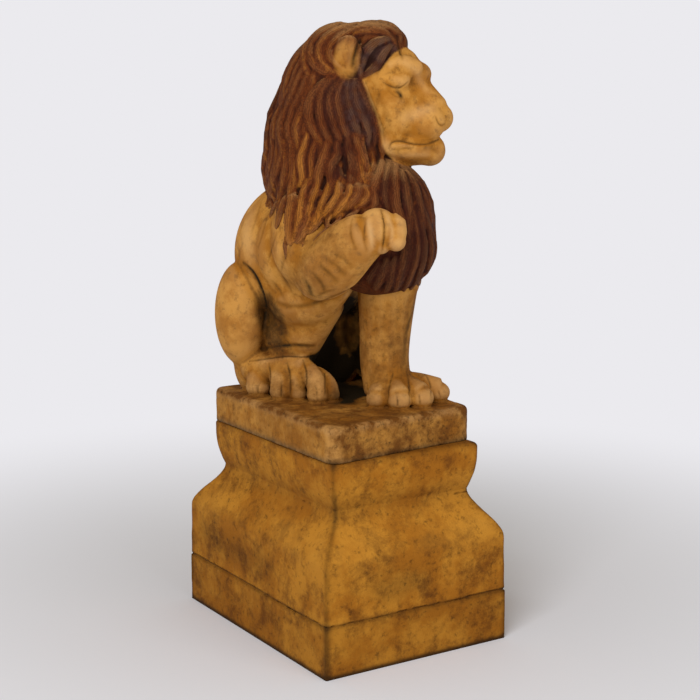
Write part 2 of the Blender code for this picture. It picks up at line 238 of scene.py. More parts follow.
def smooth_route(points: np.ndarray, steps: int) -> np.ndarray:
    """Reads a Catmull-Rom curve through rows of numbers.

    Args:
        points: one row for each point, of any length.
        steps: samples to a stretch.

    Returns:
        The samples, the last point included.
    """
    points = np.asarray(points, float)
    ends = np.vstack([points[:1], points, points[-1:]])
    shares = np.arange(steps)[:, None] / steps
    route = []
    for k in range(len(points) - 1):
        a, b, c, d = ends[k : k + 4]
        route.append(
            0.5 * (2 * b + (c - a) * shares + (2 * a - 5 * b + 4 * c - d) * shares**2
                   + (3 * b - a - 3 * c + d) * shares**3)
        )
    return np.vstack([*route, points[-1:]])


class Clay:
    """Gathers balls and rolls as arrays, then makes them one object."""

    _ball: tuple[np.ndarray, np.ndarray] | None = None

    def __init__(self) -> None:
        """Starts with nothing."""
        self._verts: list[np.ndarray] = []
        self._faces: list[np.ndarray] = []
        self._count = 0

    def add(self, verts: np.ndarray, faces: np.ndarray) -> None:
        """Takes in vertices and triangles.

        Args:
            verts: the vertices.
            faces: three vertex numbers for each triangle.
        """
        self._verts.append(np.asarray(verts, float))
        self._faces.append(np.asarray(faces, int) + self._count)
        self._count += len(verts)

    def take(self, part: Relief) -> None:
        """Takes in a relief's surface."""
        self.add(part.verts, quads_to_triangles(part.faces))

    def arrays(self) -> tuple[np.ndarray, np.ndarray]:
        """Returns all the vertices and triangles taken in so far."""
        return np.vstack(self._verts), np.vstack(self._faces)

    def ball(self, centre: Grid, radii: Grid, turn: float = 0.0, pitch: float = 0.0,
             roll: float = 0.0, place: Matrix | None = None) -> None:
        """Adds an ellipsoid.

        Args:
            centre: its middle.
            radii: its radii along its own axes.
            turn: degrees about Z, after pitch about Y and roll about X.
            pitch: degrees about Y.
            roll: degrees about X.
            place: a matrix laid over all that.
        """
        if Clay._ball is None:
            Clay._ball = unit_ball()
        verts, faces = Clay._ball
        whole = (
            Matrix.Translation(centre)
            @ Matrix.Rotation(math.radians(turn), 4, "Z")
            @ Matrix.Rotation(math.radians(pitch), 4, "Y")
            @ Matrix.Rotation(math.radians(roll), 4, "X")
            @ Matrix.Diagonal((*radii, 1.0))
        )
        if place is not None:
            whole = place @ whole
        self.add(moved(verts, whole), faces)

    def roll(self, points: np.ndarray, steps: int = 4, sides: int = 14, place: Matrix | None = None,
             point: float = 0.8) -> None:
        """Adds a tapered roll through (x, y, z, radius) points.

        Args:
            points: the route with its radii.
            steps: samples to a stretch; 1 keeps the points as they are.
            sides: sides of its section.
            place: a matrix laid over it.
            point: how far its ends stand out, as a share of their radius.
        """
        route = smooth_route(points, steps) if steps > 1 else np.asarray(points, float)
        middle = route[:, :3]
        ahead = np.gradient(middle, axis=0)
        ahead /= np.linalg.norm(ahead, axis=1, keepdims=True) + 1e-12
        side = np.array(Vector(ahead[0]).orthogonal().normalized())
        angles = np.arange(sides) * math.tau / sides
        rings = []
        for k, way in enumerate(ahead):
            side = side - way * side.dot(way)
            side /= np.linalg.norm(side) + 1e-12
            up = np.cross(way, side)
            ring = np.outer(np.cos(angles), side) + np.outer(np.sin(angles), up)
            rings.append(middle[k] + ring * route[k, 3])
        tips = np.array([
            middle[0] - ahead[0] * route[0, 3] * point,
            middle[-1] + ahead[-1] * route[-1, 3] * point,
        ])
        rings = np.array(rings)
        if place is not None:
            rings = moved(rings.reshape(-1, 3), place).reshape(rings.shape)
            tips = moved(tips, place)
        self.tube(rings, tips)

    def ribbon(self, middle: np.ndarray, across: np.ndarray, out: np.ndarray, half: np.ndarray,
               tall: np.ndarray, sides: int = 16) -> None:
        """Adds a lens-shaped strip that narrows to its ends.

        Args:
            middle: its middle line.
            across: unit vectors to its side.
            out: unit vectors out of the form.
            half: half-widths.
            tall: half-heights.
            sides: sides of its section.
        """
        angles = np.arange(sides) * math.tau / sides
        round_it = np.cos(angles)[None, :, None] * (across * half[:, None])[:, None, :]
        round_it = round_it + np.sin(angles)[None, :, None] * (out * tall[:, None])[:, None, :]
        self.tube(middle[:, None, :] + round_it, middle[[0, -1]])

    def tube(self, rings: np.ndarray, tips: np.ndarray) -> None:
        """Adds rings of points joined to each other and closed to a tip at each end.

        Args:
            rings: the points, by ring and by place in the ring.
            tips: the first and the last tip.
        """
        count, sides, _ = rings.shape
        ring = np.arange(sides)
        after = (ring + 1) % sides
        last = (count - 1) * sides
        faces = [
            quads_to_triangles(ring_quads(count, sides)),
            np.stack([after, ring, np.full(sides, count * sides)], 1),
            np.stack([ring + last, after + last, np.full(sides, count * sides + 1)], 1),
        ]
        self.add(np.vstack([rings.reshape(-1, 3), tips]), np.vstack(faces))

    def object(self, name: str) -> bpy.types.Object:
        """Makes an object of all that was taken in."""
        return object_from_arrays(name, *self.arrays())


def ring_quads(count: int, sides: int) -> np.ndarray:
    """Joins rings of points, numbered ring by ring.

    Args:
        count: number of rings.
        sides: points in each ring.

    Returns:
        The four-sided faces between them.
    """
    low = (np.arange(count - 1)[:, None] * sides + np.arange(sides)).ravel()
    after = np.where(low % sides == sides - 1, low - sides + 1, low + 1)
    return np.stack([low, after, after + sides, low + sides], 1)


def quads_to_triangles(faces: np.ndarray) -> np.ndarray:
    """Returns each four-sided face as two triangles."""
    return np.vstack([faces[:, [0, 1, 2]], faces[:, [0, 2, 3]]])


def bell(values: np.ndarray, middle: float, half: float) -> np.ndarray:
    """Returns a bell curve of the values, 1 at its middle."""
    return np.exp(-(((values - middle) / half) ** 2))


def moved(verts: np.ndarray, matrix: Matrix) -> np.ndarray:
    """Returns vertices moved by a 4x4 matrix."""
    grid = np.array(matrix)
    return verts @ grid[:3, :3].T + grid[:3, 3]


def object_from_arrays(name: str, verts: np.ndarray, faces: np.ndarray) -> bpy.types.Object:
    """Makes an object linked to the scene.

    Args:
        name: its name.
        verts: its vertices.
        faces: its faces, all with the same number of sides.

    Returns:
        The object.
    """
    mesh = bpy.data.meshes.new(name)
    mesh.vertices.add(len(verts))
    mesh.vertices.foreach_set("co", np.asarray(verts, np.float32).ravel())
    sides = faces.shape[1]
    mesh.loops.add(faces.size)
    mesh.loops.foreach_set("vertex_index", faces.astype(np.int32).ravel())
    mesh.polygons.add(len(faces))
    mesh.polygons.foreach_set("loop_start", np.arange(0, faces.size, sides, dtype=np.int32))
    mesh.update(calc_edges=True)
    thing = bpy.data.objects.new(name, mesh)
    bpy.context.scene.collection.objects.link(thing)
    return thing


def fused(clay: Clay, grain: float, smoothing: int) -> Relief:
    """Fuses clay into one closed skin.

    Args:
        clay: the masses.
        grain: size of the skin's faces in metres.
        smoothing: rounds of smoothing.

    Returns:
        The skin.
    """
    thing = clay.object("fusing")
    skin = thing.modifiers.new("skin", "REMESH")
    skin.mode = "VOXEL"
    skin.voxel_size = grain
    if smoothing:
        soften = thing.modifiers.new("soften", "SMOOTH")
        soften.factor = 0.5
        soften.iterations = smoothing
    graph = bpy.context.evaluated_depsgraph_get()
    mesh = bpy.data.meshes.new_from_object(thing.evaluated_get(graph))
    relief = Relief.from_mesh(mesh)
    bpy.data.objects.remove(thing, do_unlink=True)
    bpy.data.meshes.remove(mesh)
    return relief


def modelled(groups: list[Callable[[Clay], None]], grain: float, smoothing: int) -> Relief:
    """Fuses the masses that some methods add.

    Args:
        groups: the methods, each given the same clay.
        grain: size of the skin's faces in metres.
        smoothing: rounds of smoothing.

    Returns:
        The skin.
    """
    clay = Clay()
    for group in groups:
        group(clay)
    return fused(clay, grain, smoothing)


def thin(piece: bpy.types.Object) -> None:
    """Merges small faces where the surface is nearly flat, down to MOST_TRIANGLES.

    Args:
        piece: the piece, changed in place.
    """
    triangles = sum(len(face.vertices) - 2 for face in piece.data.polygons)
    merge = piece.modifiers.new("thin", "DECIMATE")
    merge.ratio = min(1.0, MOST_TRIANGLES / triangles)
    graph = bpy.context.evaluated_depsgraph_get()
    mesh = bpy.data.meshes.new_from_object(
        piece.evaluated_get(graph), preserve_all_data_layers=True, depsgraph=graph
    )
    piece.modifiers.clear()
    dense = piece.data
    piece.data = mesh
    bpy.data.meshes.remove(dense)


def noise(points: np.ndarray, size: float, seed: int, octaves: int = 3) -> np.ndarray:
    """Returns smooth lattice noise from -1 to 1.

    Args:
        points: where to read it.
        size: width of its largest lumps in metres.
        seed: picks the pattern.
        octaves: layers, each half the size and half the strength of the last.

    Returns:
        One value for each point.
    """
    total = np.zeros(len(points))
    share = 0.0
    for octave in range(octaves):
        spot = points / (size / 2**octave) + 37.3 * (octave + 1)
        corner = np.floor(spot).astype(np.int64)
        part = spot - corner
        part = part * part * (3 - 2 * part)
        value = np.zeros(len(points))
        for dx in (0, 1):
            for dy in (0, 1):
                for dz in (0, 1):
                    x, y, z = (corner + (dx, dy, dz)).T
                    start = seed * 2654435761 + octave * 97
                    mix = (x * 73856093) ^ (y * 19349663) ^ (z * 83492791) ^ start
                    mix = (mix ^ (mix >> 13)) * 1274126177
                    level = ((mix ^ (mix >> 16)) & 0xFFFF) / 32767.5 - 1.0
                    weight = np.ones(len(points))
                    for axis, side in enumerate((dx, dy, dz)):
                        weight = weight * (part[:, axis] if side else 1 - part[:, axis])
                    value += level * weight
        total += value * 0.5**octave
        share += 0.5**octave
    return total / share


class Relief:
    """A mesh as arrays, carved on every vertex at once."""

    def __init__(self, verts: np.ndarray, faces: np.ndarray, edges: np.ndarray) -> None:
        """Starts from a surface with empty masks.

        Args:
            verts: its vertices.
            faces: its four-sided faces.
            edges: its edges, as pairs of vertex numbers.
        """
        self.verts = verts
        self.faces = faces
        self.edges = edges
        self.masks = {mask: np.zeros(len(verts)) for mask in Mask}
        count = len(verts)
        self._degree = np.bincount(edges.ravel(), minlength=count).clip(1)

    @classmethod
    def from_mesh(cls, mesh: bpy.types.Mesh) -> Relief:
        """Reads a mesh of four-sided faces.

        Args:
            mesh: the mesh.

        Returns:
            The same surface as arrays.
        """
        verts = np.empty(len(mesh.vertices) * 3, np.float32)
        mesh.vertices.foreach_get("co", verts)
        faces = np.empty(len(mesh.loops), np.int32)
        mesh.loops.foreach_get("vertex_index", faces)
        edges = np.empty(len(mesh.edges) * 2, np.int32)
        mesh.edges.foreach_get("vertices", edges)
        return cls(verts.reshape(-1, 3).astype(float), faces.reshape(-1, 4), edges.reshape(-1, 2))

    def tree(self) -> BVHTree:
        """Returns a search tree of the faces."""
        return BVHTree.FromPolygons(self.verts.tolist(), self.faces.tolist())

    def normals(self) -> np.ndarray:
        """Returns the unit normal at each vertex."""
        a, b, c, d = (self.verts[self.faces[:, k]] for k in range(4))
        across = np.cross(c - a, d - b)
        total = np.zeros_like(self.verts)
        for corner in range(4):
            for axis in range(3):
                total[:, axis] += np.bincount(
                    self.faces[:, corner], weights=across[:, axis], minlength=len(total)
                )
        return total / (np.linalg.norm(total, axis=1, keepdims=True) + 1e-12)

    def blurred(self, values: np.ndarray, rounds: int) -> np.ndarray:
        """Mixes each vertex's values with its neighbours'.

        Args:
            values: a number or a row of numbers for each vertex.
            rounds: how often to mix.

        Returns:
            The mixed values.
        """
        flat = values.reshape(len(values), -1).astype(float)
        one, two = self.edges.T
        for _ in range(rounds):
            for axis in range(flat.shape[1]):
                column = flat[:, axis]
                near = np.bincount(one, weights=column[two], minlength=len(flat))
                near += np.bincount(two, weights=column[one], minlength=len(flat))
                flat[:, axis] = 0.5 * column + 0.5 * near / self._degree
        return flat.reshape(values.shape)

    def hollow(self, rounds: int) -> np.ndarray:
        """Returns how far, in metres, each vertex lies below its smoothed surroundings."""
        return np.einsum("ij,ij->i", self.blurred(self.verts, rounds) - self.verts, self.normals())

    def near_course(self, course: np.ndarray, reach: float) -> tuple[np.ndarray, np.ndarray, np.ndarray]:
        """Finds the vertices near a course.

        Args:
            course: points in metres.
            reach: how far to look.

        Returns:
            The vertices' indices, their distances, and their shares of the way along the course.
        """
        low = course.min(0) - reach
        high = course.max(0) + reach
        picked = np.flatnonzero(((self.verts > low) & (self.verts < high)).all(1))
        spots = self.verts[picked]
        best = np.full(len(picked), np.inf)
        along = np.zeros(len(picked))
        for k, (start, stop) in enumerate(zip(course, course[1:])):
            run = stop - start
            share = ((spots - start) @ run / (run @ run + 1e-12)).clip(0, 1)
            away = np.linalg.norm(spots - start - share[:, None] * run, axis=1)
            closer = away < best
            best[closer] = away[closer]
            along[closer] = (k + share[closer]) / (len(course) - 1)
        kept = best < reach
        return picked[kept], best[kept], along[kept]

    def object(self, name: str) -> bpy.types.Object:
        """Makes an object with smooth shading and the masks as attributes.

        Args:
            name: its name.

        Returns:
            The object.
        """
        thing = object_from_arrays(name, self.verts, self.faces)
        mesh = thing.data
        mesh.polygons.foreach_set("use_smooth", np.ones(len(mesh.polygons), bool))
        for mask, values in self.masks.items():
            layer = mesh.attributes.new(mask.value, "FLOAT", "POINT")
            layer.data.foreach_set("value", values.astype(np.float32))
        return thing


# Courses drawn in picture points


@dataclass(frozen=True)
class Lock:
    """A lock of the mane.

    Attributes:
        course: its middle line in picture points, from root to tip.
        width: full width in picture points.
        strands: strands laid side by side.
        tone: 0 for dark maroon to 1 for golden brown.
        slate: share of the grey-violet patina.
        lift: how far it stands off the mane, in grid units.
    """

    course: Course
    width: float = 8.0
    strands: int = 2
    tone: float = 0.5
    slate: float = 0.0
    lift: float = 0.0


@dataclass(frozen=True)
class Stroke:
    """A groove, ridge, dark patina, painted shade or painted highlight.

    Attributes:
        course: its line in picture points.
        width: half-width in millimetres.
        depth: depth in millimetres, negative for a ridge.
        stain_and_shade: share of dark patina and painted shade laid along it.
        pale: share of painted highlight laid along it.
        both: True to repeat it on the far side of the head.
    """

    course: Course
    width: float
    depth: float
    stain_and_shade: float = 0.0
    pale: float = 0.0
    both: bool = False


@dataclass(frozen=True)
class PlainLock:
    """The size of a lock of the underlayer, in metres.

    Attributes:
        width: its full width.
        strands: how many grooves part its strands.
        lift: how far it stands off the mane.
        thick: scales its section.
    """

    width: float
    strands: int
    lift: float
    thick: float


BACK_LOCK = PlainLock(0.031, 4, 0.003, 1.0)
SHOWN_LOCK = PlainLock(0.022, 3, -0.0022, 0.7)

CROWN_LOCKS = [
    Lock([(352, 29), (343.8, 35.3), (332, 46.5), (331.5, 57.7), (338.2, 66.1), (350, 75.9)],
         8, 3, 0.55, lift=0.4),
    Lock([(360, 24), (350, 26.5), (333, 33.9), (321.5, 46.5), (322.4, 59.1), (331.2, 68.9), (346, 77.4)],
         9, 3, 0.5, lift=0.3),
    Lock([(349, 21.5), (337, 25), (320, 35.3), (312, 47.9), (314.8, 61.9), (327, 71.7), (344, 78.8)],
         9, 3, 0.45, lift=0.15),
    Lock([(335, 24), (322, 30), (308.5, 43.7), (304, 56.3), (305.5, 68.9), (313, 80)], 9, 3, 0.6),
    Lock([(402, 30), (390, 21), (372, 19), (352, 19.5), (334, 22)], 8, 3, 0.5),
    Lock([(402, 38), (391, 29), (376, 25), (360, 25), (346, 29)], 7, 3, 0.55),
    Lock([(394, 41), (382, 33.5), (369, 31), (358, 32.5), (350, 38)], 6.5, 3, 0.5),
    Lock([(386, 41.5), (375, 37.5), (366, 39), (359.5, 46)], 5, 2, 0.4),
    Lock([(389.5, 40), (376.5, 41.5), (368, 48.5), (364, 58), (361.5, 69),
          (360.5, 79)], 7.5, 3, 0.12, 0.85, 0.35),
    Lock([(391.5, 45), (385, 53), (377.5, 63), (369.5, 71.5), (361.5, 79)], 7, 3, 0.15, 0.6, 0.3),
    Lock([(390, 22), (399, 28), (404.5, 37), (405.5, 48)], 6, 3, 0.3),
    Lock([(380, 20.5), (392, 25), (399.5, 34), (400.5, 43)], 6, 2, 0.4),
]

FAN_LOCKS = [
    Lock([(361, 79), (366.8, 94.2), (371.5, 108.2), (377.5, 122.3), (380.5, 136.3), (381.5, 150),
          (382, 161)], 6.5, 3, 0.4, lift=0.45),
    Lock([(357.5, 79), (361.2, 94.2), (366.8, 108.2), (372.4, 122.3), (375.4, 137), (375, 152)], 7, 3, 0.22,
         0.35, 0.4),
    Lock([(353.5, 79), (354.5, 94.2), (358.9, 108.2), (364.5, 122.2), (368, 137),
          (367, 150)], 7.5, 3, 0.12, 0.6, 0.4),
    Lock([(350, 79), (346.7, 94.2), (348.6, 108.2), (353.2, 122.3), (358.5, 133.5),
          (361, 146)], 8, 3, 0.1, 0.75, 0.45),
    Lock([(346.5, 78.5), (338.8, 94.2), (338.8, 108.2), (342, 122.3), (347.6, 134.9),
          (352, 145)], 8.5, 3, 0.2, 0.25, 0.45),
    Lock([(342.5, 78), (331.8, 92), (329.9, 106), (332.2, 121), (337.8, 135),
          (345, 147)], 8.5, 3, 0.3, 0.1, 0.4),
    Lock([(337.5, 77.5), (323.4, 91), (319.8, 106), (321.9, 121.5), (328, 136.3), (336, 149)], 9, 3, 0.35,
         lift=0.35),
    Lock([(331, 78), (316.5, 89), (310.7, 104), (311, 120), (316.8, 136.3),
          (325, 150)], 9, 3, 0.4, lift=0.3),
]

BACK_LOCKS = [
    Lock([(303, 50), (292, 65), (286.5, 80), (283, 92), (274, 105), (268, 118), (266.3, 132), (269, 147),
          (266, 161), (263.3, 176), (261.5, 190)], 8, 3, 0.62),
    Lock([(311, 46), (299, 62), (293, 78), (289, 92), (281, 106), (274.5, 120), (272, 134), (274.5, 148),
          (271, 163), (268, 178), (265.5, 192)], 8, 3, 0.5),
    Lock([(308, 60), (300, 74), (296, 89), (287.5, 105), (281.5, 120), (279.5, 134), (282.5, 149),
          (278.5, 164), (274, 180), (271, 194), (267, 206)], 8.5, 3, 0.42),
    Lock([(309, 72), (303, 86), (296, 102), (289.5, 117), (287.5, 132), (292, 149), (287.5, 166),
          (282.5, 183), (279.5, 200), (276.5, 215)], 8.5, 3, 0.5),
    Lock([(314, 80), (308.5, 96), (302, 112), (297, 127), (299, 143), (299, 158), (295, 172)], 8.5, 3, 0.6),
    Lock([(322, 82), (314, 98), (307, 113), (304, 128), (307, 144), (306, 158)], 8, 3, 0.4),
]

MIDDLE_LOCKS = [
    Lock([(353, 134), (357.5, 144.7), (361, 155.9), (362, 168.6), (359.3, 184)], 8, 3, 0.55, lift=0.3),
    Lock([(346.6, 137), (349, 150.3), (351.5, 161.5), (350, 175.6), (351, 187)], 8.5, 3, 0.2, lift=0.2),
    Lock([(338.2, 141), (337, 153), (331, 164.3), (333, 178.4), (339, 187)], 9, 3, 0.3, lift=0.2),
    Lock([(327, 141), (324.2, 153.1), (323, 164.3), (319, 178.4), (316, 191)], 9, 3, 0.6, lift=0.3),
    Lock([(317, 139), (313.5, 151.7), (311, 164.3), (310.5, 177), (307, 189)], 9, 3, 0.35),
    Lock([(306.5, 134), (304.5, 147.5), (302, 161.5), (302, 175.6), (299, 187)], 8.5, 3, 0.65, lift=0.3),
    Lock([(294.7, 143.3), (293.8, 157.3), (293.3, 171.4), (290.5, 186.8), (288, 200)], 8.5, 3, 0.6),
    Lock([(286.3, 150.3), (286.8, 164.3), (284, 178.4), (281, 196.6), (279.3, 212)], 8.5, 3, 0.55),
    Lock([(277.9, 143.3), (277, 158.7), (272.8, 175.6), (269.5, 192.4), (268, 207)], 8, 3, 0.6),
    Lock([(363.5, 150), (366, 160), (364, 172), (366, 186)], 7.5, 3, 0.4),
    Lock([(372, 152), (371, 165), (368, 177), (367, 190)], 7.5, 3, 0.6),
]

LOWER_LOCKS = [
    Lock([(289, 186), (284, 204), (279, 219), (275.5, 229)], 8, 3, 0.65, lift=0.2),
    Lock([(297, 175.6), (293, 192.4), (291, 211), (290, 229), (290.5, 246)], 8.5, 3, 0.7, lift=0.3),
    Lock([(307.3, 178.4), (304, 196.6), (301.3, 213.5), (297.5, 228.9), (293, 243)], 9, 3, 0.75, lift=0.3),
    Lock([(317.5, 180), (313, 198), (310, 213), (305, 226), (300, 236)], 9, 3, 0.7, lift=0.3),
    Lock([(328.5, 182), (326, 196.6), (322, 209.2), (315, 219), (307.5, 228)], 9, 3, 0.8, lift=0.3),
    Lock([(339, 182.6), (337.5, 196.6), (332, 208), (322, 218.5)], 9, 3, 0.8, lift=0.3),
    Lock([(349.5, 185), (347.5, 198), (341.5, 208), (333, 215)], 8.5, 3, 0.75, lift=0.3),
    Lock([(357, 184), (358, 195), (353.5, 203), (346, 209)], 8, 3, 0.65, lift=0.3),
    Lock([(364, 185), (366.5, 196), (363, 203.5), (356, 207)], 8, 3, 0.6, lift=0.2),
    Lock([(371, 187), (374.5, 197), (374, 204), (369, 208)], 7.5, 3, 0.45, lift=0.1),
    Lock([(282, 190), (276, 206), (270, 218)], 8, 3, 0.6),
    Lock([(316, 210), (309, 222), (301, 234), (295, 243)], 9, 3, 0.7, lift=0.2),
    Lock([(330, 207), (322, 216), (312, 226), (304, 234)], 9, 3, 0.65, lift=0.2),
]

THROAT_LOCKS = [
    Lock([(382, 160), (378.5, 178.4), (374, 195), (376, 208)], 8, 3, 0.4, lift=0.2),
    Lock([(389, 163), (386.5, 181), (385, 198), (388, 212)], 8, 3, 0.2, lift=0.2),
    Lock([(396, 164), (396, 185), (396, 206), (400, 222), (404, 238)], 8.5, 3, 0.3, lift=0.2),
    Lock([(401.5, 170), (405.5, 186), (407, 206.4), (411, 228.9)], 8.5, 3, 0.15, lift=0.2),
    Lock([(407, 171), (414, 185.4), (420.5, 206.4), (425, 228.9)], 8.5, 3, 0.25),
    Lock([(405, 190), (408, 215), (408.5, 240), (405.5, 265), (400, 286)], 9, 4, 0.1),
    Lock([(411, 200), (414.5, 225), (415.5, 250), (411.5, 272), (405, 291)], 9, 4, 0.15),
    Lock([(416.5, 204), (421.5, 228), (423, 252), (418.5, 275), (411, 290)], 8.5, 4, 0.1),
    Lock([(422.2, 205), (429, 228), (430.5, 252.9), (426, 272), (418.9, 285)], 8, 3, 0.2),
    Lock([(426, 222), (433.5, 240), (434, 256), (428.5, 271)], 7, 3, 0.12),
    Lock([(404, 238), (402.5, 260), (398.5, 278), (394, 292)], 9, 3, 0.1, lift=0.2),
    Lock([(396, 256), (391, 275), (386, 292)], 8.5, 3, 0.12, lift=0.2),
    Lock([(388, 258), (382, 274), (376, 290)], 8.5, 3, 0.1, lift=0.2),
    Lock([(380, 262), (374, 274), (369, 284)], 8, 3, 0.15),
]

NEAR_LOCKS = CROWN_LOCKS + FAN_LOCKS + BACK_LOCKS + MIDDLE_LOCKS + LOWER_LOCKS + THROAT_LOCKS

# Where the face meets the mane in the head's grid: heights, and how far forward the border lies
FACE_BORDER = (
    (50.0, 50.4, 51.0, 51.8, 53.4, 54.6, 56, 58.5, 61.5, 64.1, 66.5, 68.7, 70.7, 73.9, 75.2, 76.0),
    (30, 13.7, 11.1, 8.9, 7.2, 6.6, 6.0, 5.8, 5.0, 3.8, 2.9, 2.0, 5.8, 8.4, 10.6, 14.0),
)

# Rings of plain locks under the drawn ones: height, number and length, in grid units
UNDER_TIERS = ((72, 30, 15), (66, 30, 15), (60, 32, 15), (54, 34, 14), (47, 30, 13))

# Hollows between the mane's masses that are filled under the locks
FILLED_HOLLOWS = [(298, 189), (318, 197), (324, 181), (343, 166), (360, 155), (332, 219)]

FACE_STROKES = [
    # eye: fold over the lid, the lid's lower edge, the inner corner and the fold under it, with painted
    # shade along the lid and in the inner corner
    Stroke([(383, 75), (391, 72.5), (400, 75), (406, 79)], 3.2, 0.9, 0.12, both=True),
    Stroke([(383, 82), (391, 86.5), (400, 88), (408, 82)], 2.2, 1.8, 0.42, both=True),
    Stroke([(397, 91.5), (400.5, 94), (401.5, 98)], 4.6, 2.2, 0.85, both=True),
    Stroke([(389, 91), (394, 95), (400, 98)], 2.2, 0.8, 0.2, both=True),
    # forehead
    Stroke([(397, 36), (399, 48), (402.5, 59)], 3.4, 1.6, 0.45, both=True),
    # nostril and mouth, with painted highlights below the mouth
    Stroke([(436, 117), (438.5, 123), (442, 125.5), (445, 124)], 2.2, 1.8, 0.45, both=True),
    Stroke([(389, 149), (391, 144), (395, 141.6), (403, 141.4), (415, 144), (428, 144), (439, 139.5)],
           2.6, 2.8, 0.38, both=True),
    Stroke([(385, 140), (388, 150), (396, 159)], 9.0, 0.0, pale=0.4, both=True),
    Stroke([(398, 156), (412, 155), (428, 155)], 6.0, 0.0, pale=0.3, both=True),
    Stroke([(390, 150.5), (401, 149.2), (413, 147.8)], 2.4, 1.0, 0.3, both=True),
    Stroke([(395, 138), (404, 137.2), (416, 139.4), (428, 139), (436, 136)], 2.6, -1.0, both=True),
    Stroke([(392.5, 146.6), (402, 145.4), (414, 146.3)], 2.6, -1.0, both=True),
    # folds of the cheek and chin, painted shade in the cheek's hollow and along the mane's edge, a darker
    # patch on the chin, and painted highlights down the muzzle and the bridge of the nose
    Stroke([(412, 96), (405, 106), (400, 118), (397, 132)], 6.0, 0.8, 0.05, both=True),
    Stroke([(379, 100), (384, 110), (388, 122), (388, 132)], 8.0, 0.6, 0.24, both=True),
    Stroke([(366, 88), (372, 104), (380, 120), (383.5, 136)], 6.0, 0.3, 0.42, both=True),
    Stroke([(424, 149), (431, 148), (437, 152)], 6.0, 0.3, 0.35, both=True),
    Stroke([(404, 118), (420, 112), (434, 106)], 13.0, 0.0, pale=0.45, both=True),
    Stroke([(405, 63), (414, 70), (420, 80), (428, 92)], 8.0, 0.0, pale=0.3, both=True),
    # ear: hollow on the side towards the face, with painted shade in it
    Stroke([(359.5, 41), (357.5, 48), (355, 56), (353, 66)], 5.5, 4.0, 0.75, both=True),
]

